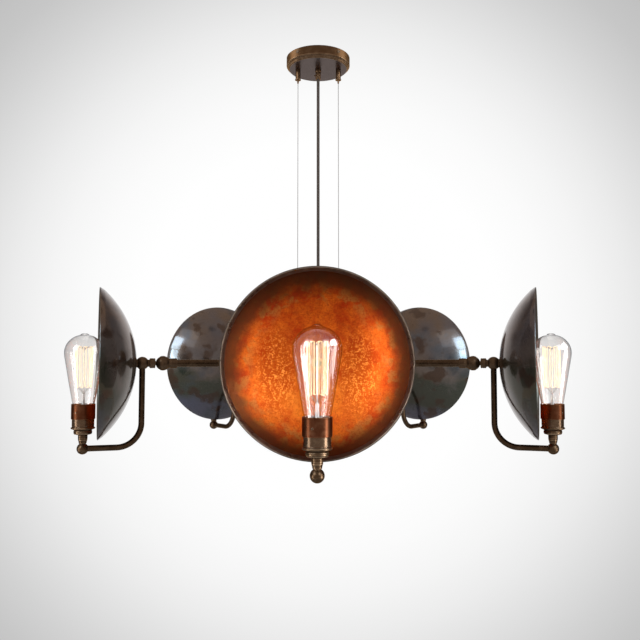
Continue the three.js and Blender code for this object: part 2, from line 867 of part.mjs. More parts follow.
function bulbCap() {
  const shellEnd = capTop - capLength;
  const taperEnd = shellEnd - capTaperLength;
  const mountTop = capTop + mountHeight;
  const rodTop = holderMouth + mountRodTopRise;
  return turned([
    [0, capEnd],
    [capContactRadius, capEnd],
    [capContactRadius, taperEnd],
    [capRadius, shellEnd],
    [capRadius, capTop],
    [mountBaseRadius, capTop],
    [mountTipRadius, mountTop],
    [mountRodRadius, mountTop],
    [mountRodRadius, rodTop],
    [0, rodTop],
  ], small).translate(lampReach, 0, 0);
}

// Assembly

function suspensionGroup() {
  const group = new THREE.Group();
  group.add(piece('ceiling_plate', ceilingPlate(), materials.platedSteel));
  group.add(piece('canopy_cover', roseCover(), materials.agedBrass));
  group.add(piece('cord_grip', cordGrip(), materials.agedBrass));
  group.add(piece('power_cord', powerCord(), materials.cordFabric));
  const gripper = wireGripper();
  const wire = suspensionWire();
  for (const [side, label] of [[-1, 'left'], [1, 'right']]) {
    const upper = piece(`wire_gripper_${label}`, gripper, materials.agedBrass);
    upper.position.set(side * wireSpacing / 2, 0, -roseHeight - gap);
    const lower = piece(`wire_anchor_${label}`, gripper, materials.agedBrass);
    lower.position.set(side * wireSpacing / 2, 0, -armDrop + coverTop + gap);
    lower.rotation.x = Math.PI;
    const line = piece(`suspension_wire_${label}`, wire, materials.steelWire);
    line.position.x = side * wireSpacing / 2;
    group.add(upper, lower, line);
  }
  return group;
}

function hubGroup() {
  const group = new THREE.Group();
  group.add(piece('hub_body', hubBody(), materials.agedBrass));
  group.add(piece('hub_cover', hubCover(), materials.agedBrass));
  group.add(piece('hub_gland', hubGland(), materials.agedBrass));
  group.add(piece('hub_finial', hubFinial(), materials.agedBrass));
  group.add(piece('terminal_block', terminalBlock(), materials.porcelain));
  group.position.z = -armDrop;
  return group;
}

const armPieces = [
  ['arm_tube', armTube(), materials.darkBrass],
  ['swivel_housing', swivelHousing(), materials.darkBrass],
  ['swivel_stem', swivelStem(), materials.darkBrass],
  ['dish', dish(), materials.dishMetal],
  ['dish_nut', dishNut(), materials.agedBrass],
  ['lamp_bracket', lampBracket(), materials.agedBrass],
  ['lampholder', lampholder(), materials.copper],
  ['bulb_glass', bulbGlassShell(), materials.clearGlass],
  ['bulb_cap', bulbCap(), materials.capMetal],
];

function armGroup(number, angle) {
  const group = new THREE.Group();
  for (const [name, geometry, material] of armPieces) {
    group.add(piece(`${name}_${number}`, geometry, material));
  }
  group.rotation.z = degrees(angle);
  group.position.z = -armDrop;
  return group;
}

const chandelier = new THREE.Group();
chandelier.add(suspensionGroup(), hubGroup());
armAngles.forEach((angle, i) => chandelier.add(armGroup(i + 1, angle)));

export default chandelier;
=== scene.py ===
import json
import math
import bpy
import numpy as np
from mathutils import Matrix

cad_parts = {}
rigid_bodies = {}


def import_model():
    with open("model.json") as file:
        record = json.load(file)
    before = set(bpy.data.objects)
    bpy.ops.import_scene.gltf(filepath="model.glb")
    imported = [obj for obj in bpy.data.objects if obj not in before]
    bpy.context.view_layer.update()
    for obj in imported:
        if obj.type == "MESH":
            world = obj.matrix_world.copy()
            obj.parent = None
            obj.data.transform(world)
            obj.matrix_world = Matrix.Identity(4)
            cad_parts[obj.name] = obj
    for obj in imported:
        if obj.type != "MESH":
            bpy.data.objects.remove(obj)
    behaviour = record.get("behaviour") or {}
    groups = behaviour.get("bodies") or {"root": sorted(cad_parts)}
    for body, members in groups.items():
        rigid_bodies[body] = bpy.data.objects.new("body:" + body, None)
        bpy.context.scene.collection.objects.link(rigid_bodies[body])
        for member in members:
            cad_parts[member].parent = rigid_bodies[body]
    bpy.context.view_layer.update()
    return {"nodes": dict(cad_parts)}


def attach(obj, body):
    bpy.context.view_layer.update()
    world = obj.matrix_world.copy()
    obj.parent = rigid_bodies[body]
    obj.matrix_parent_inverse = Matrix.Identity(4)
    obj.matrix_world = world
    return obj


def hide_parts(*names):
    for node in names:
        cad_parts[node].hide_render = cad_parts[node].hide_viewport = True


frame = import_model()


# Camera
# It stands 1.31 m in front of the lamp's axis, level with the arms, and looks up a little.

camera_place = (0.0035, -1.310, -0.5749)
camera_tilt = math.radians(3.48)


def placed(name, data):
    """A new object in the scene, made of the given data."""
    made = bpy.data.objects.new(name, data)
    bpy.context.scene.collection.objects.link(made)
    return made


camera_lens = bpy.data.cameras.new("camera")
camera_lens.sensor_width = 36
camera_lens.lens = 39.918
camera = placed("camera", camera_lens)
camera.location = camera_place
camera.rotation_euler = (math.pi / 2 + camera_tilt, 0, 0)
bpy.context.scene.camera = camera
bpy.context.scene.view_settings.view_transform = "Standard"


# Power cord
# A round flex in a dark brown braided sleeve. It hangs straight from the grip under the rose down
# into the gland on the hub, held taut beside the two wires that carry the lamp.

mm = 0.001


def surface(grid, closed=False, finish=0, marks=None):
    """A skin over a grid of points. Rows follow the profile or the path, columns go round it and
    join up; closed also joins the last row to the first. A row whose points all meet is a pole.
    The faces are turned so that the skin's volume is positive, which points them outwards."""
    rows, columns = grid.shape[:2]
    number = np.arange(rows * columns).reshape(rows, columns)
    poles = np.ptp(grid, axis=1).max(axis=1) < 1e-7
    number[poles] = number[poles, :1]
    kept, number = np.unique(number, return_inverse=True)
    number = number.reshape(rows, columns)
    points = grid.reshape(-1, 3)[kept]
    here = number if closed else number[:-1]
    beyond = np.roll(number, -1, axis=0) if closed else number[1:]
    corners = np.stack([here, np.roll(here, -1, 1), np.roll(beyond, -1, 1), beyond], axis=-1)
    step = np.linalg.norm(np.diff(grid, axis=0), axis=2).mean(axis=1)
    along = np.concatenate([[0], np.cumsum(step)]) / mm
    if closed:
        along = np.append(along, along[-1] + np.linalg.norm(grid[0] - grid[-1], axis=1).mean() / mm)
    row, column = np.indices(corners.shape[:2])
    around = np.stack([column, column + 1, column + 1, column], axis=-1) / columns
    lengthwise = np.stack([along[row], along[row], along[row + 1], along[row + 1]], axis=-1)
    flat = np.stack([around, lengthwise], axis=-1)
    p = points[corners]
    volume = np.einsum("rci,rci", p[:, :, 0], np.cross(p[:, :, 1], p[:, :, 2]))
    volume += np.einsum("rci,rci", p[:, :, 0], np.cross(p[:, :, 2], p[:, :, 3]))
    if volume < 0:
        corners, flat = corners[:, :, ::-1], flat[:, :, ::-1]
    used = corners != np.roll(corners, -1, axis=-1)
    values = {name: np.broadcast_to(np.asarray(v, float), (rows, columns)).ravel()[kept]
              for name, v in (marks or {}).items()}
    finishes = np.broadcast_to(np.asarray(finish).reshape(-1, 1), used.shape[:2]).ravel()
    return {"points": points, "loops": corners[used], "flat": flat[used],
            "sizes": used.sum(axis=-1).ravel(), "finish": finishes, "marks": values}


def make_piece(name, parts, body, materials, replaces=(), sharp=40):
    """One named object from skins: their points, faces, flat coordinates and marks one after
    another, with edges sharper than the given angle kept crisp."""

    def together(key):
        return np.concatenate([part[key] for part in parts])

    mesh = bpy.data.meshes.new(name)
    starts = np.cumsum([0] + [len(part["points"]) for part in parts])
    loops = np.concatenate([part["loops"] + start for part, start in zip(parts, starts)])
    sizes = together("sizes")
    mesh.vertices.add(starts[-1])
    mesh.vertices.foreach_set("co", together("points").ravel())
    mesh.loops.add(len(loops))
    mesh.loops.foreach_set("vertex_index", loops.astype(np.int32))
    mesh.polygons.add(len(sizes))
    mesh.polygons.foreach_set("loop_start", (np.cumsum(sizes) - sizes).astype(np.int32))
    mesh.update(calc_edges=True)
    mesh.uv_layers.new(name="surface").data.foreach_set("uv", together("flat").ravel())
    for mark in parts[0]["marks"]:
        mesh.attributes.new(mark, "FLOAT", "POINT").data.foreach_set(
            "value", np.concatenate([part["marks"][mark] for part in parts]).astype(np.float32))
    for material in materials:
        mesh.materials.append(material)
    mesh.polygons.foreach_set("material_index", together("finish").astype(np.int32))
    mesh.shade_smooth()
    mesh.set_sharp_from_angle(angle=math.radians(sharp))
    made = placed(name, mesh)
    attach(made, body)
    if replaces:
        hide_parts(*replaces)
    return made


def circle_of(angle, first, second):
    """The directions at the given angles in the plane of two directions."""
    return np.cos(angle)[..., None] * first + np.sin(angle)[..., None] * second


def tube(path, radius, sides, toward):
    """A round tube along a path, closed at both ends. At each point it is a circle in the plane
    square to the path, whose first axis leans towards the given direction."""
    ahead = np.gradient(path, axis=0)
    ahead /= np.linalg.norm(ahead, axis=1, keepdims=True)
    first = toward - (toward * ahead).sum(axis=1, keepdims=True) * ahead
    first /= np.linalg.norm(first, axis=1, keepdims=True)
    second = np.cross(ahead, first)
    angle = np.linspace(0, 2 * np.pi, sides, endpoint=False)
    rings = path[:, None] + radius * circle_of(angle, first[:, None], second[:, None])
    ends = np.repeat(path[[0, -1], None], sides, axis=1)
    return np.concatenate([ends[:1], rings, ends[1:]])


def fill(tree, socket, value):
    """Gives a socket its value: the output that feeds it, a colour's red, green and blue, or a plain
    value."""
    if isinstance(value, bpy.types.NodeSocket):
        tree.links.new(value, socket)
    elif socket.type == "RGBA":
        socket.default_value = (*value, 1)
    else:
        socket.default_value = value


def add(tree, kind, sockets=None, **settings):
    """One shader node with its settings and the values of its sockets."""
    made = tree.nodes.new(kind)
    for name, value in settings.items():
        setattr(made, name, value)
    for name, value in (sockets or {}).items():
        fill(tree, made.inputs[name], value)
    return made


def calc(tree, operation, *values):
    """The result of one operation on one or two values."""
    return add(tree, "ShaderNodeMath", dict(enumerate(values)), operation=operation).outputs[0]


def mixed(tree, amount, first, second):
    """The colour that lies the given amount of the way from the first colour to the second."""
    return add(tree, "ShaderNodeMix", {0: amount, 6: first, 7: second}, data_type="RGBA").outputs[2]


def spread(tree, value, low, high, to_low=0.0, to_high=1.0):
    """A value stretched from one range to another and held within it."""
    return add(tree, "ShaderNodeMapRange", {"Value": value, "From Min": low, "From Max": high,
                                            "To Min": to_low, "To Max": to_high}).outputs[0]


def layered(tree, colour, *layers):
    """A colour with others laid over it. Each layer is a colour, then a value and the ranges that
    stretch it to how much of that colour shows."""
    for tint, *amount in layers:
        colour = mixed(tree, spread(tree, *amount), colour, tint)
    return colour


def cloud(tree, where, scale, detail=4.0, rough=0.55):
    """Soft noise of the given scale, per metre."""
    return add(tree, "ShaderNodeTexNoise", {"Vector": where, "Scale": scale, "Detail": detail,
                                            "Roughness": rough}).outputs["Fac"]


def set_sockets(tree, node, **values):
    """Fills a node's sockets by name, with _ for each space in a name."""
    for name, value in values.items():
        fill(tree, node.inputs[name.replace("_", " ")], value)


def new_material(name, **values):
    """A material with one Principled shader and its values, its node tree, and the place on the
    piece that its patterns follow."""
    material = bpy.data.materials.new(name)
    material.use_nodes = True
    tree = material.node_tree
    shader = tree.nodes["Principled BSDF"]
    set_sockets(tree, shader, **values)
    return material, tree, shader, add(tree, "ShaderNodeTexCoord").outputs["Object"]


def raised(tree, shader, height, distance, strength=1.0):
    """Fine relief on a surface: the height feeds a bump, in metres."""
    bump = add(tree, "ShaderNodeBump", {"Height": height, "Distance": distance, "Strength": strength})
    set_sockets(tree, shader, Normal=bump.outputs["Normal"])


def two_tone(name, scale, first, second, low=0.0, high=1.0, **values):
    """A material whose colour goes from one tone to the other in soft clouds."""
    material, tree, shader, where = new_material(name, **values)
    colour = mixed(tree, spread(tree, cloud(tree, where, scale), low, high), first, second)
    set_sockets(tree, shader, Base_Color=colour)
    return material


def braided_sleeve():
    """Two families of slanting threads on the cord's own flat coordinates, crossing as a diamond."""
    material, tree, shader, where = new_material("braided_sleeve", Roughness=0.82, Sheen_Weight=0.1)
    flat = add(tree, "ShaderNodeUVMap", uv_map="surface").outputs["UV"]
    split = add(tree, "ShaderNodeSeparateXYZ", {"Vector": flat}).outputs
    threads_round, threads_along = 8, 2.9
    turns = calc(tree, "MULTIPLY", split["X"], threads_round * 2 * math.pi)
    rise = calc(tree, "MULTIPLY", split["Y"], threads_along)
    waves = [calc(tree, "SINE", calc(tree, way, turns, rise)) for way in ("ADD", "SUBTRACT")]
    weave = spread(tree, calc(tree, "MAXIMUM", *waves), -0.4, 1.0)
    threads = mixed(tree, weave, (0.030, 0.020, 0.015), (0.100, 0.074, 0.058))
    fuzz = ((0.15, 0.12, 0.10), cloud(tree, where, 900.0), 0.35, 0.75, 0.0, 0.35)
    set_sockets(tree, shader, Base_Color=layered(tree, threads, fuzz))
    raised(tree, shader, weave, 0.0004)
    return material


cord_radius = 2.75 * mm
cord_top, cord_bottom = -12 * mm, -565.7 * mm
cord_path = np.zeros((201, 3))
cord_path[:, 2] = np.linspace(cord_top, cord_bottom, 201)
power_cord = make_piece(
    "braided_power_cord", [surface(tube(cord_path, cord_radius, 32, np.array([1.0, 0, 0])))],
    "frame", [braided_sleeve()], ["power_cord"])


# Suspension wires
# Two 1.2 mm stranded steel wires carry the lamp. Each runs straight from the gripper under the rose
# to the anchor on the hub cover.

wire_radius = 0.6 * mm
wire_spacing = 76 * mm
wire_top, wire_bottom = -36.3 * mm, -540.9 * mm


def stranded_steel():
    """Bright steel with slanting bands, one for each strand of the wire."""
    material, tree, shader, where = new_material("stranded_steel", Metallic=0.35, Roughness=0.42)
    slant = {"Vector": where, "Rotation": (0, math.radians(28), 0)}
    strands = add(tree, "ShaderNodeTexWave", {"Vector": add(tree, "ShaderNodeMapping", slant).outputs[0],
                                              "Scale": 260.0, "Distortion": 0.6},
                  wave_type="BANDS", bands_direction="Z").outputs["Fac"]
    colour = mixed(tree, strands, (0.84, 0.84, 0.84), (0.98, 0.98, 0.98))
    set_sockets(tree, shader, Base_Color=colour)
    raised(tree, shader, strands, 0.0001)
    return material


wire_metal = stranded_steel()
for side, label in ((-1, "left"), (1, "right")):
    wire_line = bpy.data.curves.new(f"wire_{label}", "CURVE")
    wire_line.dimensions = "3D"
    wire_line.bevel_depth = wire_radius
    wire_line.bevel_resolution = 3
    wire_line.use_fill_caps = True
    run = wire_line.splines.new("POLY")
    run.points.add(17)
    for point, height in zip(run.points, np.linspace(wire_top, wire_bottom, 18)):
        point.co = (side * wire_spacing / 2, 0, height, 1)
    wire_line.materials.append(wire_metal)
    wire = placed(f"steel_wire_{label}", wire_line)
    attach(wire, "frame")
    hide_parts(f"suspension_wire_{label}")


# Ceiling rose
# A spun brass cover with three fine stepped mouldings, aged to a warm brown, over a plated steel
# ceiling plate. Four dome-headed screws through its side hold it to the plate.

def rounded(profile, steps=4):
    """A profile whose corners are rounded. A corner (a, b, radius) is cut back on both sides by
    radius over the tangent of half its opening, and an arc joins the cuts. The wear mark is 1 on
    those arcs; a negative radius rounds an inner corner, where the mark is -1."""
    profile = [tuple(corner) + (0,) * (3 - len(corner)) for corner in profile]
    places = np.array([corner[:2] for corner in profile], float)
    points, wear = [], []
    for index, (place, (_, _, size)) in enumerate(zip(places, profile)):
        if size == 0 or index in (0, len(profile) - 1):
            points.append(place)
            wear.append(0.0)
            continue
        back, on = places[index - 1] - place, places[index + 1] - place
        reach = min(np.linalg.norm(back), np.linalg.norm(on)) * 0.45
        back, on = back / np.linalg.norm(back), on / np.linalg.norm(on)
        half = math.acos(np.clip(back @ on, -1, 1)) / 2
        cut = min(abs(size) / math.tan(half), reach)
        radius = cut * math.tan(half)
        centre = place + (back + on) / np.linalg.norm(back + on) * radius / math.sin(half)
        first = place + back * cut - centre
        last = place + on * cut - centre
        share = np.linspace(0, 1, steps + 1)[:, None]
        sweep = math.pi - 2 * half
        arc = (np.sin((1 - share) * sweep) * first + np.sin(share * sweep) * last) / math.sin(sweep)
        margin = min(abs(size) * 0.3, reach * 0.1)
        points.extend([place + back * (cut + margin), *(centre + arc), place + on * (cut + margin)])
        wear.extend([0.0, *[math.copysign(1.0, size)] * (steps + 1), 0.0])
    return np.array(points), np.array(wear)


def arc_points(centre_a, centre_b, radius, start, end, steps):
    """Points on an arc of a profile, angles in degrees, as corners that need no rounding."""
    angle = np.radians(np.linspace(start, end, steps + 1))
    return list(zip(centre_a + radius * np.cos(angle), centre_b + radius * np.sin(angle)))


def compass(turn):
    """The level direction at an angle, and the one a quarter turn further."""
    outward = np.array([math.cos(turn), math.sin(turn), 0])
    return outward, np.array([-outward[1], outward[0], 0])


def upright(x, y, z):
    """A place for a turned shape whose axis stands up: origin, axis and two directions across it."""
    return np.array([x, y, z]) * mm, np.array([0, 0, 1.0]), *compass(0)


def turned(profile, place, sides=96, closed=False, finish=0, flutes=None):
    """A profile of (radius, height) in millimetres turned about an axis: each point becomes a circle
    of its radius at its height. flutes may add a small wave, in millimetres, to the radius."""
    points, wear = rounded(profile)
    if closed:
        points, wear = points[:-1], wear[:-1]
    origin, axis, across, beside = place
    angle = np.linspace(0, 2 * np.pi, sides, endpoint=False)
    radius = np.repeat(points[:, :1], sides, axis=1)
    if flutes:
        radius = radius + flutes(points, angle)
    circle = circle_of(angle, across, beside)
    grid = origin + mm * (points[:, 1, None, None] * axis + radius[:, :, None] * circle)
    return surface(grid, closed, finish, {"wear": wear[:, None]})


def patina_group():
    """Aged metal, shared by every brass and bronze piece. Broad clouds carry the body colour part of
    the way to a darker tone and finer ones to a lighter tone, by the amount Mottle; the wear mark
    lightens edges and darkens inner corners."""
    group = bpy.data.node_groups.new("patina", "ShaderNodeTree")
    for name, kind in (("Place", "Vector"), ("Scale", "Float"), ("Body", "Color"), ("Dark", "Color"),
                       ("Bright", "Color"), ("Wear", "Float"), ("Mottle", "Float")):
        group.interface.new_socket(name=name, in_out="INPUT", socket_type=f"NodeSocket{kind}")
    for name, kind in (("Colour", "Color"), ("Dullness", "Float"), ("Relief", "Float")):
        group.interface.new_socket(name=name, in_out="OUTPUT", socket_type=f"NodeSocket{kind}")
    given = group.nodes.new("NodeGroupInput").outputs
    large = cloud(group, given["Place"], given["Scale"], 3.0, 0.5)
    small = cloud(group, given["Place"], calc(group, "MULTIPLY", given["Scale"], 3.7), 4.0, 0.6)
    grain = cloud(group, given["Place"], calc(group, "MULTIPLY", given["Scale"], 23.0), 2.0, 0.5)
    colour = given["Body"]
    for tone, noise, low, high, most in (("Dark", large, 0.40, 0.66, 1.0), ("Bright", small, 0.48, 0.74, 0.6),
                                         ("Dark", grain, 0.45, 0.8, 0.5)):
        amount = calc(group, "MULTIPLY", spread(group, noise, low, high, 0.0, most), given["Mottle"])
        colour = mixed(group, amount, colour, given[tone])
    rubbed = calc(group, "MULTIPLY", spread(group, given["Wear"], 0.0, 1.0),
                  spread(group, small, 0.3, 0.6, 0.45, 0.95))
    colour = mixed(group, rubbed, colour, given["Bright"])
    colour = layered(group, colour, (given["Dark"], given["Wear"], -1.0, 0.0, 0.75, 0.0))
    dullness = spread(group, small, 0.3, 0.75, -0.05, 0.09)
    add(group, "NodeGroupOutput", {"Colour": colour, "Dullness": dullness, "Relief": grain})
    return group


patina = patina_group()


def mark_of(tree, name):
    """One of the marks that a piece's points carry."""
    return add(tree, "ShaderNodeAttribute", attribute_name=name).outputs["Fac"]


def aged_metal(name, body, dark, bright, scale, dullness, mottle=0.45, relief=0.00003, **values):
    """A metal finish made with the patina: its colours, the size of its mottling per metre, and its
    mean roughness. The brown specular tint keeps old brass from whitening at its outlines."""
    values = {"Metallic": 0.9, "Specular_Tint": (0.50, 0.34, 0.22), **values}
    material, tree, shader, where = new_material(name, **values)
    made = add(tree, "ShaderNodeGroup", node_tree=patina)
    set_sockets(tree, made, Place=where, Wear=mark_of(tree, "wear"), Scale=scale, Body=body, Dark=dark,
                Bright=bright, Mottle=mottle)
    rough = calc(tree, "ADD", made.outputs["Dullness"], dullness)
    set_sockets(tree, shader, Base_Color=made.outputs["Colour"], Roughness=rough)
    raised(tree, shader, made.outputs["Relief"], relief)
    return material


rose_brass = aged_metal("rose_brass", (0.138, 0.078, 0.041), (0.045, 0.025, 0.014), (0.70, 0.50, 0.33),
                        18.0, 0.36, 0.16, Specular_Tint=(0.9, 0.62, 0.40))
rose_face = aged_metal("rose_face", (0.110, 0.092, 0.086), (0.085, 0.072, 0.068), (0.24, 0.19, 0.16),
                       22.0, 0.30, 0.3, Specular_Tint=(0.7, 0.62, 0.60))
zinc_plate = aged_metal("zinc_plate", (0.46, 0.45, 0.43), (0.27, 0.26, 0.25), (0.68, 0.67, 0.65),
                        60.0, 0.38, Specular_Tint=(1, 1, 1))
screw_brass = aged_metal("screw_brass", (0.44, 0.31, 0.20), (0.30, 0.21, 0.13), (0.58, 0.43, 0.29),
                         60.0, 0.50, 0.3, Metallic=0.3)

rose_profile = [
    (4.32, -20), (4.32, -22, 0.2), (54.0, -22, 0.7), (54.6, -20.6, -0.25), (55.6, -20.5, 0.4),
    (55.9, -19.1, -0.25), (56.9, -19.0, 0.4), (57.3, -17.5, -0.25), (58.6, -17.4, 0.5), (59.5, -15.6, 0.8),
    (59.5, -0.4, -0.5), (57.9, -0.4, 0.4), (57.9, -17.5, -0.8), (55.2, -20, -0.8), (4.32, -20)]
rose_points, _ = rounded(rose_profile)
make_piece("rose_cover",
           [turned(rose_profile, upright(0, 0, 0), 160, True, np.where(rose_points[:-1, 1] < -21.9, 1, 0))],
           "frame", [rose_brass, rose_face], ["canopy_cover"])


def finish_node(name, material):
    """Gives a CAD piece that no scene piece replaces its own material."""
    slots = frame["nodes"][name].data.materials
    slots.clear()
    slots.append(material)


finish_node("ceiling_plate", zinc_plate)

for number, bearing in enumerate((-129, -51, 51, 129), 1):
    outward, beside = compass(math.radians(bearing))
    place = (outward * 59.5 + np.array([0, 0, -7])) * mm, outward, beside, np.array([0, 0, 1.0])
    head = [(0, 0.15), (3.1, 0.15), (3.1, 0.5, 0.15), *arc_points(0, -1.2, 3.4, 27, 68, 6), (1.2, 1.95, 0.1),
            (1.2, 1.4, -0.1), (0, 1.4)]
    make_piece(f"rose_screw_{number}", [turned(head, place, 40)], "frame", [screw_brass])


# Cord grip and wire grippers
# Turned brass fittings. The grip clamps the cord with a small side screw under a ringed barrel; each
# gripper has a flange and a tapered nose, and its twin stands upside down on the hub cover.

fitting_brass = aged_metal("fitting_brass", (0.215, 0.125, 0.066), (0.100, 0.058, 0.032),
                           (0.55, 0.35, 0.20), 36.0, 0.30)

grip_rings = []
for height in np.arange(-38.4, -28.2, 1.7):
    grip_rings += [(4.9, height - 0.45, 0.15), (4.45, height - 0.2, -0.1),
                   (4.45, height + 0.2, -0.1), (4.9, height + 0.45, 0.15)]
grip_profile = [
    (3.05, -40.3), (4.1, -40.3, 0.25), (4.9, -39.4, 0.25), *grip_rings, (4.9, -26.3, -0.2), (5.6, -26.3, 0.4),
    (5.6, -22.3, 0.3), (4.0, -22.3), (4.0, -16.3), (3.05, -16.3), (3.05, -40.3)]
pinch_axis = np.array([-1.0, 0, 0])
pinch_place = (np.array([0, 0, -33.1 * mm]), pinch_axis, np.array([0, 1.0, 0]), np.array([0, 0, -1.0]))
pinch_screw = [(0, 4.0), (1.2, 4.0), (1.2, 7.1, 0.25), (0.75, 7.4), (0.35, 7.45), (0.3, 7.1), (0, 7.1)]
make_piece("cord_grip_barrel",
           [turned(grip_profile, upright(0, 0, 0), 64, True), turned(pinch_screw, pinch_place, 32)],
           "frame", [fitting_brass], ["cord_grip"])

gripper_profile = [
    (0.9, -26), (1.4, -26, 0.2), (2.0, -20, -0.3), (3.6, -20, 0.5), (5.6, -19.5, 0.4), (5.6, -18, 0.4),
    (4.7, -17.9, -0.3), (4.7, -15.6, 0.12), (4.45, -15.3, -0.1), (4.45, -14.9, -0.1), (4.7, -14.6, 0.12),
    (4.7, 0, 0.25), (3.0, 0), (3.0, 8), (0.9, 8), (0.9, -26)]
for side, label in ((-1, "left"), (1, "right")):
    x = side * wire_spacing / 2 / mm
    make_piece(f"gripper_{label}", [turned(gripper_profile, upright(x, 0, -22.3), 56, True)],
               "frame", [fitting_brass], [f"wire_gripper_{label}"])
    anchor_place = np.array([x, 0, -554.9]) * mm, *np.array([[0, 0, -1.0], [1.0, 0, 0], [0, -1.0, 0]])
    make_piece(f"anchor_{label}", [turned(gripper_profile, anchor_place, 56, True)],
               "frame", [fitting_brass], [f"wire_anchor_{label}"])


# Hub
# A shallow spun brass drum that takes the five arms. A stepped cover closes it, a turned finial
# clamps it from below, and a gland on the cover takes the cord.

hub_brass = aged_metal("hub_brass", (0.125, 0.070, 0.037), (0.064, 0.036, 0.020), (0.50, 0.32, 0.19),
                       18.0, 0.29)
arm_level = -575
arm_place = upright(0, 0, arm_level)
hub_profile = [
    (4.35, -18), (44.0, -18, 1.6), (52.0, -14, 1.6), (52.0, 13.6, 0.2), (51.7, 13.8, -0.1),
    (51.7, 14.2, -0.1), (52.0, 14.4, 0.2), (52.0, 15, 0.2), (49.5, 15), (49.5, -11.5, -1.0),
    (41.5, -15.5, -1.0), (4.35, -15.5), (4.35, -18)]
make_piece("hub_drum", [turned(hub_profile, arm_place, 160, True)],
           "frame", [hub_brass], ["hub_body"])
cover_profile = [
    (5.35, 15.3), (46.7, 15.3), (46.7, 10.3), (49.2, 10.3), (49.2, 15.3), (53.0, 15.3, 0.5),
    (53.0, 18.3, 0.9), (50.0, 18.3, -0.4), (49.8, 19.8, 0.7), (12.5, 19.8, -0.2), (12.0, 20.3, 0.3),
    (9.2, 20.3, 0.3), (8.8, 19.8, -0.2), (5.35, 19.8), (5.35, 15.3)]
make_piece("hub_lid", [turned(cover_profile, arm_place, 160, True)],
           "frame", [hub_brass], ["hub_cover"])
gland_profile = [
    (3.05, 14.1), (5.0, 14.1), (5.0, 20.1), (8.0, 20.1, 0.5), (8.0, 28.1, 0.9), (4.8, 29.6, -0.5),
    (4.8, 35.1, 0.5), (3.05, 35.1), (3.05, 14.1)]


def between(points, low, high, ease, wider_than):
    """How fully a wave shows at each point of a profile: 1 between two heights, eased to 0 at both,
    and 0 where the profile is narrower than given."""
    held = np.clip(np.minimum(points[:, 1] - low, high - points[:, 1]) / ease, 0, 1)
    return (held * (points[:, 0] > wider_than))[:, None]


def fluted(count, depth, *where):
    """Lengthwise grooves for turned: a cosine wave round the piece, cut below its radius."""
    return lambda points, angle: depth * between(points, *where) * (np.cos(count * angle)[None] - 1)


grip_flutes = fluted(24, 0.22, 21.5, 27.0, 0.6, 7.5)
make_piece("hub_gland_barrel", [turned(gland_profile, arm_place, 144, True, flutes=grip_flutes)],
           "frame", [fitting_brass], ["hub_gland"])
finial_radius = 9.5
neck_angle = math.degrees(math.acos(6 / finial_radius))
finial_centre = -18.3 - 2 - 3 - finial_radius * math.sin(math.radians(neck_angle))
finial_profile = [
    *arc_points(0, finial_centre, finial_radius, -90, neck_angle, 22), (6, -20.9, -0.4), (11.5, -20.6, 0.4),
    (14, -19.6, 0.5), (14, -18.3, 0.3), (4, -18.3), (4, -2.9), (0, -2.9)]
finial_profile[0] = (0, finial_centre - finial_radius)
make_piece("finial", [turned(finial_profile, arm_place, 96)],
           "frame", [hub_brass], ["hub_finial"])
finish_node("terminal_block", two_tone("glazed_porcelain", 90.0, (0.78, 0.75, 0.68), (0.66, 0.62, 0.54),
                                      0.4, 0.7, Roughness=0.28))


# Arm tubes
# Five drawn brass tubes, aged dark, that carry the cable out from the hub. A turned collar butts
# against the drum where each one enters.

arm_bronze = aged_metal("arm_bronze", (0.085, 0.052, 0.030), (0.045, 0.027, 0.016), (0.36, 0.25, 0.16),
                        24.0, 0.27, 0.4, Specular_Tint=(0.8, 0.66, 0.54))

arm_angles = {number: math.radians(-90 + 72 * (number - 1)) for number in range(1, 6)}


def along_arm(number, reach=0.0):
    """A place for a shape turned about an arm's own axis, with heights measured outwards."""
    outward, across = compass(arm_angles[number])
    origin = (np.array([0, 0, arm_level]) + outward * reach) * mm
    return origin, outward, across, np.array([0, 0, 1.0])


tube_profile = [
    (4.85, 45), (6.35, 45), (6.35, 52.3), (8.4, 52.3, 0.3), (9.5, 53.2, 0.5), (9.5, 55.4, 0.4),
    (8.7, 56.0, -0.3), (8.7, 57.2, -0.3), (9.2, 57.8, 0.3), (8.6, 59.6, 0.5), (7.0, 60.3, 0.2),
    (6.35, 60.4, -0.2), (6.35, 160), (6.35, 266), (4.85, 266), (4.85, 45)]
for number in arm_angles:
    make_piece(f"arm_{number}", [turned(tube_profile, along_arm(number), 64, True)],
               "frame", [arm_bronze], [f"arm_tube_{number}"])


# Ball swivels
# Each arm ends in a brass ball that turns on the tube behind a reeded collar. The ball is slotted
# for the tongue of the stem, which tilts on a cross pin and is pinched by it.

swivel_centre = 280.5
ball_bronze = aged_metal("ball_bronze", (0.140, 0.090, 0.056), (0.066, 0.043, 0.027), (0.44, 0.31, 0.20),
                         40.0, 0.36, 0.4)
pin_steel = aged_metal("pin_steel", (0.30, 0.27, 0.23), (0.12, 0.10, 0.08), (0.55, 0.51, 0.45),
                       90.0, 0.30)

ball_radius, tongue_radius, tongue_half, tilt_limit = 12.5, 8.7, 3.7, 40
collar_angle = math.degrees(math.asin(7.9 / ball_radius))
ball_profile = [
    (0, -14.2), (6.95, -14.2), (6.95, -23.5), (7.9, -23.5, 0.35), (8.5, -23.0, 0.3), (8.5, -12.6, 0.5),
    (7.9, -11.9, -0.2), *[(r, h) for h, r in arc_points(0, 0, ball_radius, 180 - collar_angle, 0, 40)]]
ball_profile[-1] = (0, ball_radius)
collar_reeds = fluted(40, 0.2, -22.4, -13.4, 0.5, 8.2)


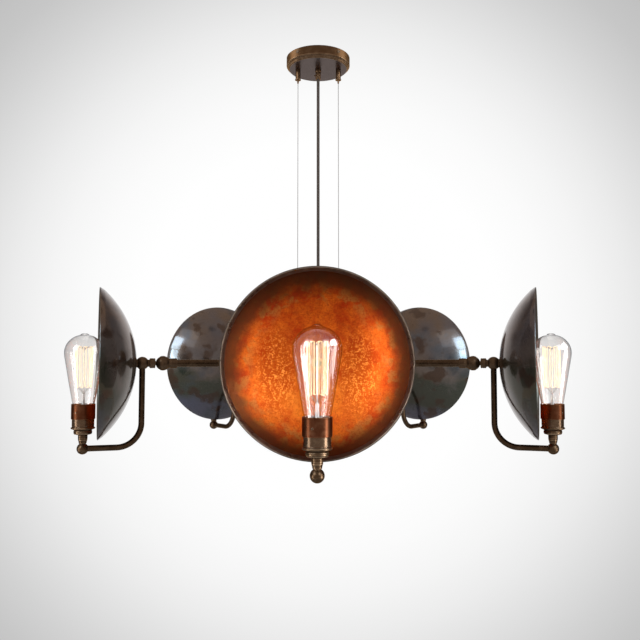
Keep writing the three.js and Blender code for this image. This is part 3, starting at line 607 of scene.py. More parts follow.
def swivel_slot(place):
    """The slot's cutter: a flat plate 8 mm thick, cut to a fan that reaches past the ball's skin
    where the stem swings, with 2 degrees to spare, and to a circle of radius 9 elsewhere."""
    origin, outward, across, up = place
    past_skin, pocket, spare, count = 14.5, 9.0, 2, 49
    half = math.radians(tilt_limit + math.degrees(math.asin(tongue_half / pocket)) + spare)
    angle = np.concatenate([np.linspace(-half, half, count),
                            np.linspace(half + 1e-3, 2 * np.pi - half - 1e-3, count)])
    reach = np.concatenate([np.full(count, past_skin), np.full(count, pocket)])
    outline = reach[:, None] * circle_of(angle, outward, up)
    middle = np.zeros_like(outline)
    rows = [middle - 4 * across, outline - 4 * across, outline + 4 * across, middle + 4 * across]
    return origin + mm * np.stack(rows)


for number in arm_angles:
    place = along_arm(number, swivel_centre)
    housing = make_piece(f"swivel_ball_{number}", [turned(ball_profile, place, 160, flutes=collar_reeds)],
                         f"swivel_{number}", [ball_bronze], [f"swivel_housing_{number}"])
    plain = surface(swivel_slot(place), marks={"wear": 0.0})
    cutter = make_piece(f"slot_cutter_{number}", [plain], f"swivel_{number}", [ball_bronze])
    slotting = housing.modifiers.new("slot", "BOOLEAN")
    slotting.operation = "DIFFERENCE"
    slotting.solver = "EXACT"
    slotting.object = cutter
    graph = bpy.context.evaluated_depsgraph_get()
    slotted = bpy.data.meshes.new_from_object(housing.evaluated_get(graph), depsgraph=graph)
    housing.modifiers.clear()
    housing.data = slotted
    bpy.data.objects.remove(cutter)

junction_reach, junction_radius = 315, 11
junction = junction_reach - swivel_centre
waist_angle = math.degrees(math.asin(5.8 / junction_radius))
seat_angle = math.degrees(math.asin(7 / junction_radius))
stem_profile = [
    (0, 1), (tongue_half, 1), (tongue_half, 13.1), (7.9, 13.1, 0.3), (8.5, 13.6, 0.3), (8.5, 15.4, 0.2),
    (8.15, 15.7, -0.15), (8.15, 16.1, -0.15), (8.5, 16.4, 0.2), (8.5, 21.6, 0.3), (7.9, 22.1, 0.3),
    (6.2, 22.7, -0.4),
    *[(r, h) for h, r in arc_points(junction, 0, junction_radius, 180 - waist_angle, seat_angle, 36)],
    (7.0, 44.2, 0.3), (5.0, 44.2), (5.0, 54.0), (0, 54.0)]
for number in arm_angles:
    origin, outward, across, up = along_arm(number, swivel_centre)
    sideways = (origin, across, up, outward)
    tongue = [(0, -tongue_half), (tongue_radius, -tongue_half, 0.3), (tongue_radius, tongue_half, 0.3),
              (0, tongue_half)]
    pin = [(0, -12.0), (1.5, -12.0, 0.2), (2.0, -11.6, 0.2), (2.0, 11.6, 0.2), (1.5, 12.0, 0.2), (0, 12.0)]
    make_piece(f"stem_{number}",
               [turned(stem_profile, (origin, outward, across, up), 96), turned(tongue, sideways, 64)],
               f"head_{number}", [ball_bronze], [f"swivel_stem_{number}"])
    make_piece(f"cross_pin_{number}", [turned(pin, sideways, 32)],
               f"head_{number}", [pin_steel])


# Lamp brackets
# One bent brass tube from the junction ball down and out to a lower ball, which carries the
# lampholder on a threaded nipple. The bend has a 40 mm radius.

bracket_reach, bracket_drop, bracket_bend = 409, 141, 40


def bracket_path(number):
    """Straight down from the junction ball, a quarter circle outwards, then straight to the ball."""
    down = np.linspace(-5.0, bracket_bend - bracket_drop, 30)
    angle = np.linspace(0, np.pi / 2, 40)[1:-1]
    out = np.linspace(junction_reach + bracket_bend, bracket_reach - 6.5, 22)
    bend = junction_reach + bracket_bend * (1 - np.cos(angle))
    reach = np.concatenate([np.full(30, junction_reach), bend, out])
    bend = -bracket_drop + bracket_bend * (1 - np.sin(angle))
    height = np.concatenate([down, bend, np.full(22, -bracket_drop)])
    origin, outward, _, up = along_arm(number)
    return origin + mm * (reach[:, None] * outward + height[:, None] * up)


holder_brass = aged_metal("holder_brass", (0.122, 0.076, 0.044), (0.062, 0.038, 0.022), (0.72, 0.52, 0.34),
                          40.0, 0.30, 0.4)

lower_ball = [(0, -9.5), *arc_points(0, 0, 9.5, -88, 54, 34), (5.4, 8.1, -0.2), (5.4, 8.5), (0, 8.5)]
for number in arm_angles:
    origin, outward, across, up = along_arm(number)
    pipe = surface(tube(bracket_path(number), 5.0 * mm, 48, across), marks={"wear": 0.0})
    place = (origin + mm * (bracket_reach * outward - bracket_drop * up), up, outward, across)
    make_piece(f"bracket_{number}", [pipe, turned(lower_ball, place, 80, finish=1)],
               f"head_{number}", [arm_bronze, holder_brass], [f"lamp_bracket_{number}"])


# Dish reflectors
# Spun metal bowls, lacquered over a dark mottled patina outside, with painted reflections of the room
# banded by height. Inside they are orange copper with the lamp's light painted on as a glow and
# glints; it darkens to the rim, partly as patina and partly as painted shade, and there the sheet is
# folded back into a bare hem.

def dish_outside():
    """Glossy patina, warm brown and grey violet, with painted reflections of the room banded by the rise
    mark: grey brown through the middle, moss green under it and slate blue at the bottom. Brown
    blotches and burnt spots lie over it."""
    material, tree, shader, where = new_material(
        "dish_outside", Metallic=0.6, Specular_Tint=(0.55, 0.46, 0.44), Coat_Weight=0.6, Coat_Roughness=0.04)
    shifted = add(tree, "ShaderNodeMapping", {"Vector": where, "Location": (0.31, 0.17, 0.05)}).outputs[0]
    ripple = spread(tree, cloud(tree, where, 11.0), 0.3, 0.7, -0.35, 0.35)
    height = calc(tree, "ADD", mark_of(tree, "rise"), ripple)
    nearest = add(tree, "ShaderNodeTexVoronoi", {"Vector": shifted, "Scale": 15.0}).outputs["Distance"]
    few = spread(tree, cloud(tree, shifted, 11.0), 0.50, 0.60)
    spots = calc(tree, "MULTIPLY", spread(tree, nearest, 0.10, 0.03), few)
    violet, brown = (0.118, 0.088, 0.082), (0.180, 0.140, 0.118)
    moss, slate = (0.058, 0.058, 0.036), (0.120, 0.112, 0.150)
    colour = layered(
        tree, (0.150, 0.086, 0.052),
        # The height bands are painted reflections of the room: grey brown through the middle, moss green
        # under it and slate blue at the bottom.
        (violet, cloud(tree, where, 8.0), 0.42, 0.60), (brown, height, 0.55, 0.20, 0.0, 0.8),
        (moss, height, 0.06, -0.20, 0.0, 0.92), (slate, height, -0.55, -0.95, 0.0, 0.90),
        ((0.075, 0.085, 0.098), cloud(tree, shifted, 13.0), 0.34, 0.45, 0.6, 0.0),
        ((0.066, 0.030, 0.015), cloud(tree, where, 24.0, 2.0), 0.56, 0.63, 0.0, 0.8),
        ((0.030, 0.018, 0.012), spots, 0.0, 1.0),
        ((0.034, 0.024, 0.018), cloud(tree, where, 420.0, 3.0), 0.40, 0.75, 0.0, 0.30),
        ((0.30, 0.24, 0.20), mark_of(tree, "wear"), 0.2, 1.0, 0.0, 0.4))
    roughness = spread(tree, cloud(tree, where, 26.0), 0.3, 0.7, 0.13, 0.26)
    set_sockets(tree, shader, Base_Color=colour, Roughness=roughness)
    raised(tree, shader, cloud(tree, where, 34.0, 2.0), 0.00010)
    return material


def dish_inside():
    """Orange copper leaf: red and orange clouds and ochre towards the rim, with the lamp's light painted
    on. Gold glints below the lamp's foot and bright crackle lines to both sides of it are painted
    highlights, each by its own mark. The reach mark, 0 at the pole and 1 at the rim, darkens it
    outwards, partly as patina and partly as painted shade where the lamp's light falls off, and sooner
    at the top; the glow mark is painted light, the lamp's glow, which the inside also gives off as a
    faint emission. Inner corners get painted shade in the step behind the hem."""
    material, tree, shader, where = new_material(
        "dish_inside", Metallic=1.0, Specular_Tint=(0.8, 0.36, 0.14), Emission_Strength=0.13)
    marks = ("reach", "glow", "gold", "flare", "wear")
    reach, glow, gold, flare, wear = (mark_of(tree, mark) for mark in marks)
    ripple = spread(tree, cloud(tree, where, 26.0, 5.0, 0.65), 0.3, 0.7, -0.035, 0.035)
    edge = calc(tree, "ADD", reach, ripple)
    streaks = cloud(tree, where, 40.0, 8.0, 0.74)
    # Painted highlight: gold glints of the lamp's light below its foot.
    glint_share = calc(tree, "MULTIPLY", gold, spread(tree, streaks, 0.3, 0.6, 0.05, 0.55))
    ochre = calc(tree, "MULTIPLY", spread(tree, edge, 0.64, 0.76),
                 spread(tree, cloud(tree, where, 62.0, 4.0), 0.50, 0.58, 0.0, 0.6))
    wander = add(tree, "ShaderNodeTexNoise", {"Vector": where, "Scale": 90.0}).outputs["Color"]
    bent = add(tree, "ShaderNodeMix", {0: 0.006, 4: where, 5: wander}, data_type="VECTOR").outputs[1]
    crackle = add(tree, "ShaderNodeTexVoronoi", {"Vector": bent, "Scale": 310.0},
                  feature="DISTANCE_TO_EDGE").outputs["Distance"]
    broken = spread(tree, cloud(tree, where, 230.0, 3.0, 0.7), 0.48, 0.54)
    # Painted highlight: fine crackle lines that catch the lamp's light to both sides of it.
    lines = calc(tree, "MULTIPLY", spread(tree, crackle, 0.10, 0.04, 0.0, 0.8), broken)
    cracks = calc(tree, "MULTIPLY", spread(tree, crackle, 0.12, 0.0, 0.0, 0.7),
                  spread(tree, broken, 1.0, 0.0))
    colour = layered(
        tree, (0.38, 0.036, 0.006),
        ((0.62, 0.125, 0.012), streaks, 0.40, 0.60),
        ((0.27, 0.040, 0.008), cloud(tree, where, 120.0, 4.0, 0.7), 0.50, 0.72, 0.0, 0.55),
        ((0.66, 0.205, 0.022), glint_share, 0.0, 1.0),
        ((0.36, 0.165, 0.038), ochre, 0.0, 1.0),
        ((0.36, 0.052, 0.006), flare, 0.0, 1.0, 0.0, 0.75),
        ((0.95, 0.34, 0.05), calc(tree, "MULTIPLY", lines, flare), 0.0, 1.0),
        ((0.24, 0.030, 0.005), cracks, 0.0, 1.0),
        # Darker towards the rim: partly patina, partly painted shade where the lamp's light falls off.
        ((0.075, 0.022, 0.008), edge, 0.74, 0.87, 0.0, 0.90),
        ((0.042, 0.018, 0.010), edge, 0.86, 0.96, 0.0, 0.60),
        # Painted shade in the step behind the hem.
        ((0.012, 0.007, 0.004), wear, -1.0, 0.0, 0.9, 0.0))
    roughness = spread(tree, cloud(tree, where, 160.0), 0.3, 0.7, 0.38, 0.55)
    # Painted light: the lamp's glow, which the inside gives off as a faint emission.
    lit = mixed(tree, glow, (0, 0, 0), colour)
    set_sockets(tree, shader, Base_Color=colour, Emission_Color=lit, Roughness=roughness)
    raised(tree, shader, streaks, 0.0004, 0.8)
    return material


outside, inside = dish_outside(), dish_inside()
hem_metal = aged_metal("hem_metal", (0.105, 0.079, 0.058), (0.034, 0.027, 0.022), (0.34, 0.26, 0.21),
                       20.0, 0.30, 0.3, Metallic=0.7, Specular_Tint=(0.7, 0.6, 0.5))

sphere_radius, sheet, dish_back, seat_radius, stud_bore = 167.0, 1.2, 325, 12.0, 5.42
sphere_centre = dish_back + math.sqrt(sphere_radius ** 2 - seat_radius ** 2)


def sphere_arc(radius, start, end, steps):
    """Points of the bowl's sphere between two distances from its axis, as (distance, reach)."""
    angle = np.linspace(math.asin(start / radius), math.asin(end / radius), steps + 1)
    return [(radius * math.sin(a), sphere_centre - radius * math.cos(a)) for a in angle]


mouth = sphere_arc(sphere_radius, 1, 123, 1)[-1]
rim_radius = 128.0
rim = (rim_radius, 386.0)
slope = np.array(rim) - np.array(mouth)
slope /= np.linalg.norm(slope)
inward = np.array([-slope[1], slope[0]])


def from_rim(back, depth):
    """A point near the rim: so far back along the rim band and so deep inwards from its outside."""
    return tuple(np.array(rim) - slope * back + inward * depth)


hem_fold = [from_rim(sheet * (1 - math.sin(a)), sheet * (1 - math.cos(a))) for a in np.linspace(0, np.pi, 9)]
band = float(np.linalg.norm(np.array(rim) - np.array(mouth)))
outer_skin = [(stud_bore, dish_back), (seat_radius, dish_back, 1.5),
              *sphere_arc(sphere_radius, 14, 122.4, 56), mouth]
inner_bowl = sphere_arc(sphere_radius - sheet, 14, 121.2, 56)[::-1]
hem_skin = [from_rim(*spot) for spot in ((2.0, 2.4), (7.7, 2.4), (8.0, 2.3), (8.15, 2.0), (8.15, 1.25))]


def dish_rows():
    """The bowl's closed profile and, for each of its strips, the finish: outside, hem or inside."""
    outer = rounded(outer_skin)[0]
    inner = rounded([from_rim(8.2, sheet), from_rim(band, sheet), *inner_bowl,
                     (seat_radius, dish_back + sheet, 1.5), (stud_bore, dish_back + sheet)])[0]
    profile = np.concatenate([outer, hem_fold, hem_skin, inner])
    finish = np.zeros(len(profile), int)
    hem_from = len(outer) + 3
    inside_from = len(outer) + len(hem_fold) + len(hem_skin) - 1
    finish[hem_from:inside_from] = 2
    finish[inside_from:-1] = 1
    wear = np.zeros(len(profile))
    wear[len(outer) + 1:len(outer) + 5] = -1
    wear[len(outer) + 6:len(outer) + 8] = 1
    # Painted shade in the step between the hem and the inside of the bowl.
    wear[inside_from:inside_from + 2] = -1
    return profile, finish, wear


dish_profile, dish_finish, dish_wear_and_shade = dish_rows()
for number in arm_angles:
    origin, outward, across, up = along_arm(number)
    angle = np.linspace(0, 2 * np.pi, 224, endpoint=False)
    side, rise = dish_profile[:, :1] * np.cos(angle), dish_profile[:, :1] * np.sin(angle)
    grid = origin + mm * (dish_profile[:, 1, None, None] * outward + side[:, :, None] * across
                          + rise[:, :, None] * up)
    # Painted light of the lamp on the inside: a glow round it, gold glints below its foot and bright crackle
    # lines to both sides.
    glow = np.exp(-((side / 62) ** 2 + ((rise + 26) / 80) ** 2))
    # Painted highlight: gold glints of the lamp's light below its foot, to both sides.
    gold = np.exp(-(((np.abs(side) - 32) / 34) ** 2 + ((rise + 46) / 40) ** 2))
    # Painted highlight: where the crackle lines catch the lamp's light, to both sides of it.
    flare = np.exp(-(((np.abs(side) - 56) / 28) ** 2 + ((rise + 12) / 58) ** 2) ** 2)
    # The reach darkens the inside outwards, partly as patina and partly as painted shade; its shift makes the
    # top darken sooner, which is painted shade.
    reach = dish_profile[:, :1] / rim_radius + 0.035 * np.sin(angle)
    shell = surface(grid, True, dish_finish, {"wear": dish_wear_and_shade[:, None], "reach": reach, "glow": glow,
                                              "gold": gold, "flare": flare, "rise": rise / rim_radius})
    make_piece(f"dish_bowl_{number}", [shell], f"head_{number}", [outside, inside, hem_metal],
               [f"dish_{number}"])


# Dish nuts
# A hexagon nut on the stem's stud clamps each bowl against the junction ball.

def hexagon_nut(place):
    """A nut 19 mm across its corners: rows of a hexagon, pared by a cone at both faces, and a
    round bore. The hexagon's radius at an angle is its flat's distance over the cosine."""
    origin, axis, across, beside = place
    angle = np.linspace(0, 2 * np.pi, 96, endpoint=False)
    flat = 9.4 * math.cos(math.pi / 6)
    hexagon = flat / np.cos((angle + np.pi / 6) % (np.pi / 3) - np.pi / 6)
    heights = np.array([0, 0, 0.5, 1.0, 5.0, 5.5, 6.0, 6.0])
    cone = np.array([5.4, 8.1, 8.9, 9.7, 9.7, 8.9, 8.1, 5.4])
    radius = np.minimum(hexagon[None], cone[:, None])
    circle = circle_of(angle, across, beside)
    grid = origin + mm * (heights[:, None, None] * axis + radius[:, :, None] * circle)
    return surface(grid, True, marks={"wear": np.array([[0], [0.5], [0.5], [0], [0], [0.5], [0.5], [0]])})


# Painted light: the nuts are coloured orange for the lamp's light that falls on them, over their brass.
nut_brass = aged_metal("nut_brass", (0.60, 0.24, 0.06), (0.40, 0.14, 0.04), (0.80, 0.40, 0.14), 60.0, 0.42)
for number in arm_angles:
    make_piece(f"nut_{number}", [hexagon_nut(along_arm(number, 326.5))], f"head_{number}",
               [nut_brass], [f"dish_nut_{number}"])


# Lampholders
# A turned brass neck and cup with a flanged lip, a plain brass band, and a screwed-on copper skirt
# with a small grub screw. The bulb's cap screws into the socket inside.

holder_base = -bracket_drop + 8.5
copper = aged_metal("skirt_copper", (0.135, 0.045, 0.020), (0.070, 0.026, 0.013), (0.44, 0.24, 0.14),
                    26.0, 0.31, 0.35, Specular_Tint=(0.6, 0.34, 0.2))
band_metal = aged_metal("band_metal", (0.175, 0.115, 0.074), (0.095, 0.060, 0.038), (0.60, 0.47, 0.34),
                        30.0, 0.25, 0.35, Specular_Tint=(0.8, 0.65, 0.5))
socket_brass = aged_metal("socket_brass", (0.42, 0.30, 0.15), (0.20, 0.13, 0.06), (0.62, 0.48, 0.28),
                          40.0, 0.32)


def at_lamp(number, height=0.0):
    """A place on the lamp's upright axis at the end of an arm's bracket, heights from the arms."""
    origin, outward, across, up = along_arm(number)
    return origin + mm * (bracket_reach * outward + height * up), up, outward, across


neck_profile = [
    (0, 0), (5.6, 0, 0.2), (6.2, 0.6, 0.4), (6.5, 3.0, -2.0), (7.4, 6.0, 2.0), (7.6, 8.6, 1.5),
    (7.6, 14.0, -0.6), (10.4, 14.6, 1.0), (14.0, 15.6, 1.3), (14.8, 18.0, 0.8), (14.8, 20.6, 0.5),
    (14.0, 21.5, -0.4), (14.9, 22.8, -0.6), (18.7, 24.3, 0.4), (19.3, 24.9, 0.3), (19.3, 26.3, 0.35),
    (18.2, 27.0, -0.2), (17.8, 27.4), (0, 27.4)]
band_profile = [
    (0, 27.3), (17.75, 27.3), (17.75, 28.0, 0.2), (17.5, 28.4, -0.15), (17.5, 28.9, -0.15),
    (17.8, 29.3, 0.2), (17.8, 40.3), (0, 40.3)]
skirt_profile = [
    (17.9, 40.25), (18.9, 40.25, 0.3), (19.3, 40.8, 0.3), (19.3, 62.9, -0.2), (19.05, 63.3, -0.2),
    (19.05, 63.7, -0.2), (19.3, 64.1, 0.3), (19.3, 65.1, 0.3), (18.7, 65.3, 0.25), (18.1, 64.9, 0.2),
    (18.1, 53.3), (13.5, 53.3, 0.4), (13.5, 28.5), (17.5, 28.5), (17.5, 40.25), (17.9, 40.25)]
screw_turn, screw_height, screw_seat = {1: -19, 2: -37, 3: 160, 4: -160, 5: 53}, 51.5, 19.0
for number in arm_angles:
    base = at_lamp(number, holder_base)
    skirt_finish = np.where(rounded(skirt_profile)[0][:-1, 0] < 17.0, 1, 0)
    for part, profile, slot, material in (("cup", neck_profile, "dark_brass", holder_brass),
                                          ("band", band_profile, "aged_brass", band_metal)):
        make_piece(f"holder_{part}_{number}", [turned(profile, base, 96)], f"head_{number}", [material])
    make_piece(f"holder_skirt_{number}", [turned(skirt_profile, base, 128, True, skirt_finish)],
               f"head_{number}", [copper, socket_brass], [f"lampholder_{number}"])
    turn = math.radians(screw_turn[number])
    origin, up, outward, across = base
    facing = circle_of(turn, outward, across)
    screw_place = (origin + mm * (screw_seat * facing + screw_height * up), facing, np.cross(up, facing), up)
    grub = [(0, 0), (1.5, 0), (1.5, 0.55, 0.12), (1.2, 0.75, 0.1), (0.5, 0.75), (0.45, 0.4), (0, 0.4)]
    make_piece(f"skirt_screw_{number}", [turned(grub, screw_place, 28)],
               f"head_{number}", [band_metal])


# Bulbs
# Bare squirrel-cage bulbs: a clear blown envelope with a small pip, on a brass screw cap. A glass
# mount carries a rod and two sets of hooks, and the filament is strung up and down between them.

mouth_height = holder_base + 65.3
widest = mouth_height + 85.2
bulb_radius, dome_height, shoulder_radius, pip_radius = 32, 30, 54, 7


def envelope(thickness, steps):
    """Half of the bulb's outline from the pip down: an elliptic dome, a shoulder arc of radius 54,
    a straight taper of 10.1 degrees, and a short throat. thickness sets it inwards."""
    radius, dome, shoulder, pip = (
        size - thickness for size in (bulb_radius, dome_height, shoulder_radius, pip_radius))
    lean = math.radians(10.1)
    angle = np.linspace(math.acos(pip / radius), 0, steps)
    top = [(radius * math.cos(a), widest + dome * math.sin(a)) for a in angle]
    nub = [(share * pip, widest + dome + rise)
           for share, rise in ((0, 1.8), (0.43, 1.65), (0.71, 1.1), (0.89, 0.3))]
    turn = np.linspace(0, lean, 14)[1:]
    curve = [(bulb_radius - shoulder_radius + shoulder * math.cos(a), widest - shoulder * math.sin(a))
             for a in turn]
    end, low = curve[-1]
    mouth_radius = end - (low - mouth_height) * math.tan(lean)
    taper = [(end + (mouth_radius - end) * s, low + (mouth_height - low) * s) for s in np.linspace(0.2, 1, 8)]
    throat = [(mouth_radius - 0.9, mouth_height - 3.4), (12.8 - thickness, mouth_height - 10)]
    return nub + top + curve + taper + throat


def clear_glass(name, tint, roughness, transmission):
    """Plain blown glass, with a faint waviness in its thickness."""
    material, tree, shader, where = new_material(
        name, Base_Color=tint, Roughness=roughness, Transmission_Weight=transmission, IOR=1.46,
        Specular_IOR_Level=0.38)
    raised(tree, shader, cloud(tree, where, 35.0, 1.0), 0.0004, 0.5)
    return material


bulb_glass = clear_glass("bulb_glass_clear", (0.995, 0.985, 0.975), 0.0, 1.0)
mount_glass = clear_glass("mount_glass", (0.97, 0.975, 0.97), 0.08, 0.7)
cap_metal = aged_metal("cap_brass", (0.52, 0.38, 0.20), (0.26, 0.17, 0.08), (0.70, 0.57, 0.36),
                       70.0, 0.28, Metallic=0.95)
support_metal = aged_metal("support_wire", (0.30, 0.27, 0.24), (0.14, 0.12, 0.10), (0.5, 0.47, 0.42),
                           200.0, 0.3, Metallic=0.9)
black_glass = two_tone("cap_insulator", 300.0, (0.012, 0.010, 0.016), (0.03, 0.025, 0.035), Roughness=0.15)


def filament_light():
    """Glowing carbon wire, a little paler in some places than in others."""
    material, tree, shader, where = new_material("filament_glow", Roughness=0.5, Emission_Strength=0.93)
    colour = layered(tree, (0.95, 0.68, 0.36), ((0.98, 0.84, 0.58), cloud(tree, where, 120.0), 0.35, 0.65))
    set_sockets(tree, shader, Base_Color=colour, Emission_Color=colour)
    return material


filament_glow = filament_light()

cap_top = mouth_height - 10.3
cage_top, cage_bottom, cage_radius = 26.5, -39.0, 13.6
mount_profile = [
    (0, cap_top - 0.1), (6.0, cap_top), (5.2, cap_top + 3), (3.2, cap_top + 9), (2.5, cap_top + 18),
    (2.6, cap_top + 24), (2.3, cap_top + 27, 0.5), (1.0, cap_top + 28.6, -0.5), (1.0, 22.4, -0.4),
    (1.9, 23.4, 0.6), (1.9, 24.4, 0.6), (0, 25.0)]


def screw_thread(points, angle):
    """The cap's pressed thread: a rounded helical wave cut below the cap's radius, 3.6 mm a turn."""
    held = between(points, cap_top - 16.4, cap_top - 1.6, 0.8, 12)
    phase = 2 * np.pi * points[:, 1:2] / 3.6 - angle[None]
    return 0.45 * held * (np.cos(phase) - 1)


cap_wall = [(13.2, h) for h in np.linspace(cap_top - 0.9, cap_top - 16.6, 90)]
cap_profile = [
    (0, cap_top - 0.4), (12.9, cap_top - 0.4, 0.2), *cap_wall, (12.6, cap_top - 17.2), (0, cap_top - 17.2)]
insulator_profile = [
    (0, cap_top - 17.0), (12.3, cap_top - 17.0, 0.3), (11.4, cap_top - 17.8, 0.5),
    (5.2, cap_top - 20.0, -0.4), (0, cap_top - 20.2)]
contact_profile = [
    (0, cap_top - 19.6), (4.5, cap_top - 19.9), (4.5, cap_top - 21.6, 0.5), (3.2, cap_top - 22.7, 0.5),
    (0, cap_top - 23.0)]


def bent_wire(points, radius, sides, outward_from):
    """A fine wire through the given points, as a tube whose section leans away from the bulb's axis."""
    return surface(tube(points, radius * mm, sides, points - outward_from + 1e-6), marks={"wear": 0.0})


def mount_wire(place, reach, direction, height, radius):
    """A fine wire of the mount: its points lie at a reach in one direction and at a height."""
    origin, up, _, _ = place
    run = origin + mm * (reach[:, None] * direction + height[:, None] * up)
    return bent_wire(run, radius, 6, origin - up * 0.5)


def filament_path(place, strands):
    """The filament's run: strands go up and down by turns at even angles round the cage, joined by
    short arcs over the hooks, each strand bowed outwards a little in its middle."""
    origin, up, outward, across = place

    def bearing(strand):
        return (strand + 0.25) * 2 * np.pi / strands + 0.03 * math.sin(2.4 * strand)

    angle, height = [], []
    for strand in range(strands):
        first, last = (cage_bottom, cage_top) if strand % 2 == 0 else (cage_top, cage_bottom)
        share = np.linspace(0, 1, 15)
        angle.append(np.full(15, bearing(strand)))
        height.append(first + (last - first) * share)
        if strand < strands - 1:
            bend = np.linspace(0, np.pi, 7)[1:-1]
            start, end = bearing(strand), bearing(strand + 1)
            angle.append(start + (end - start) * (1 - np.cos(bend)) / 2)
            height.append(last + math.copysign(1.1, last - first) * np.sin(bend))
    angle, height = np.concatenate(angle), np.concatenate(height)
    share = (height - cage_bottom) / (cage_top - cage_bottom)
    radius = cage_radius - 1.0 * (1 - share) + 0.7 * np.sin(np.pi * np.clip(share, 0, 1))
    spoke = circle_of(angle, outward, across)
    return origin + mm * (radius[:, None] * spoke + height[:, None] * up)


strands = 18
glass_profile = envelope(0, 30) + envelope(0.8, 30)[::-1]
for number in arm_angles:
    place = at_lamp(number)
    origin, up, outward, across = place
    body = f"bulb_{number}"
    glass = make_piece(f"bulb_envelope_{number}", [turned(glass_profile, place, 112)], body,
                       [bulb_glass], [f"bulb_glass_{number}"], sharp=60)
    mount = make_piece(f"bulb_mount_{number}", [turned(mount_profile, place, 40)],
                       body, [mount_glass])
    make_piece(f"bulb_thread_{number}", [turned(cap_profile, place, 72, flutes=screw_thread)],
               body, [cap_metal], [f"bulb_cap_{number}"])
    make_piece(f"cap_insulator_{number}", [turned(insulator_profile, place, 64)],
               body, [black_glass])
    make_piece(f"cap_contact_{number}", [turned(contact_profile, place, 48)], body, [cap_metal])
    filament = make_piece(f"filament_{number}", [bent_wire(filament_path(place, strands), 0.32, 8, origin)],
                          body, [filament_glow])
    glass.visible_shadow = mount.visible_shadow = filament.visible_shadow = False
    hooks = []
    for hook in range(strands):
        angle = (hook + 0.5) * 2 * np.pi / strands
        top = hook % 2 == 0
        level, start = (cage_top + 0.6, 23.9) if top else (cage_bottom - 0.6, cap_top + 26.5)
        span = cage_radius if top else cage_radius - 1.0
        spoke = circle_of(angle, outward, across)
        height = start + (level - start) * np.sin(np.linspace(0, np.pi / 2, 9))
        hooks.append(mount_wire(place, np.linspace(0.8, span, 9), spoke, height, 0.2))
    for lead in (-1, 1):
        height = np.linspace(cap_top + 1, cage_bottom, 12)
        apart = 2.2 + (cage_radius - 3.2) * np.clip((height - cap_top - 12) / 20, 0, 1) ** 1.5
        hooks.append(mount_wire(place, apart, lead * across, height, 0.3))
    make_piece(f"filament_hooks_{number}", hooks, body, [support_metal])


# Room
# A pale floor far below the lamp and a large white backdrop behind it, which greys softly towards
# its corners, with plain soft lamps at the sides, above and in front. Grey cloths far out at both
# sides darken what gloss shows there.

def pale_surface(name, shade, colour_of):
    """A matt pale surface that the camera, gloss and glass see as a plain brightness of its own."""
    material = bpy.data.materials.new(name)
    material.use_nodes = True
    tree = material.node_tree
    tree.nodes.clear()
    seen = add(tree, "ShaderNodeLightPath").outputs
    direct = calc(tree, "MAXIMUM", seen["Is Camera Ray"], seen["Is Glossy Ray"])
    direct = calc(tree, "MAXIMUM", direct, seen["Is Transmission Ray"])
    matt = add(tree, "ShaderNodeBsdfDiffuse", {"Color": shade})
    bright = add(tree, "ShaderNodeEmission", {"Color": colour_of(tree), "Strength": 1.0})
    both = add(tree, "ShaderNodeMixShader", {0: direct, 1: matt.outputs[0], 2: bright.outputs[0]})
    add(tree, "ShaderNodeOutputMaterial", {"Surface": both.outputs[0]})
    return material


backdrop_distance = 3.2
backdrop_away = backdrop_distance - camera_place[1]
backdrop_height = camera_place[2] + backdrop_away * math.tan(camera_tilt)
backdrop_centre = (camera_place[0], backdrop_distance, backdrop_height)


def backdrop_falloff(tree):
    """White in the middle, greying with the distance from the middle as the studio's light falls off.
    Its far upper ends, which only gloss shows, are darker still."""
    where = add(tree, "ShaderNodeTexCoord").outputs["Object"]
    away = add(tree, "ShaderNodeVectorMath", {0: where, 1: backdrop_centre},
               operation="DISTANCE").outputs["Value"]
    share = calc(tree, "MULTIPLY", away, camera_lens.lens / camera_lens.sensor_width / backdrop_away)
    ramp = add(tree, "ShaderNodeValToRGB", {"Fac": share})
    steps = ramp.color_ramp.elements
    steps.remove(steps[1])
    levels = [(180, 255), (230, 251), (270, 245), (310, 236), (350, 224), (390, 211), (430, 199), (470, 192)]
    for index, (pixels, level) in enumerate(levels):
        step = steps[0] if index == 0 else steps.new(pixels / 640)
        step.position = pixels / 640
        step.color = (*[((level / 255 + 0.055) / 1.055) ** 2.4] * 3, 1)
    glossy = add(tree, "ShaderNodeLightPath").outputs["Is Glossy Ray"]
    height = spread(tree, add(tree, "ShaderNodeSeparateXYZ", {"Vector": where}).outputs["Z"], -1.3, -0.5)
    above = calc(tree, "MULTIPLY", height, glossy)
    dim = calc(tree, "MULTIPLY", spread(tree, share, 0.22, 0.75, 0.0, 0.85), above)
    return mixed(tree, dim, ramp.outputs["Color"], (0.10, 0.105, 0.125))


def flat_sheet(name, corners, material):
    """A flat four-sided stage sheet through the given corners."""
    mesh = bpy.data.meshes.new(name)
    mesh.from_pydata(corners, [], [(0, 1, 2, 3)])
    mesh.materials.append(material)
    made = placed(name, mesh)
    return made


y = backdrop_distance
flat_sheet("backdrop", [(-5, y, 3.2), (5, y, 3.2), (5, y, -2.6), (-5, y, -2.6)],
           pale_surface("backdrop_paper", (0.86, 0.86, 0.86), backdrop_falloff))
flat_sheet("floor", [(-3, -3, -2.55), (3, -3, -2.55), (3, 3, -2.55), (-3, 3, -2.55)],
           two_tone("floor_paint", 2.0, (0.84, 0.84, 0.83), (0.80, 0.80, 0.80), Roughness=0.7))

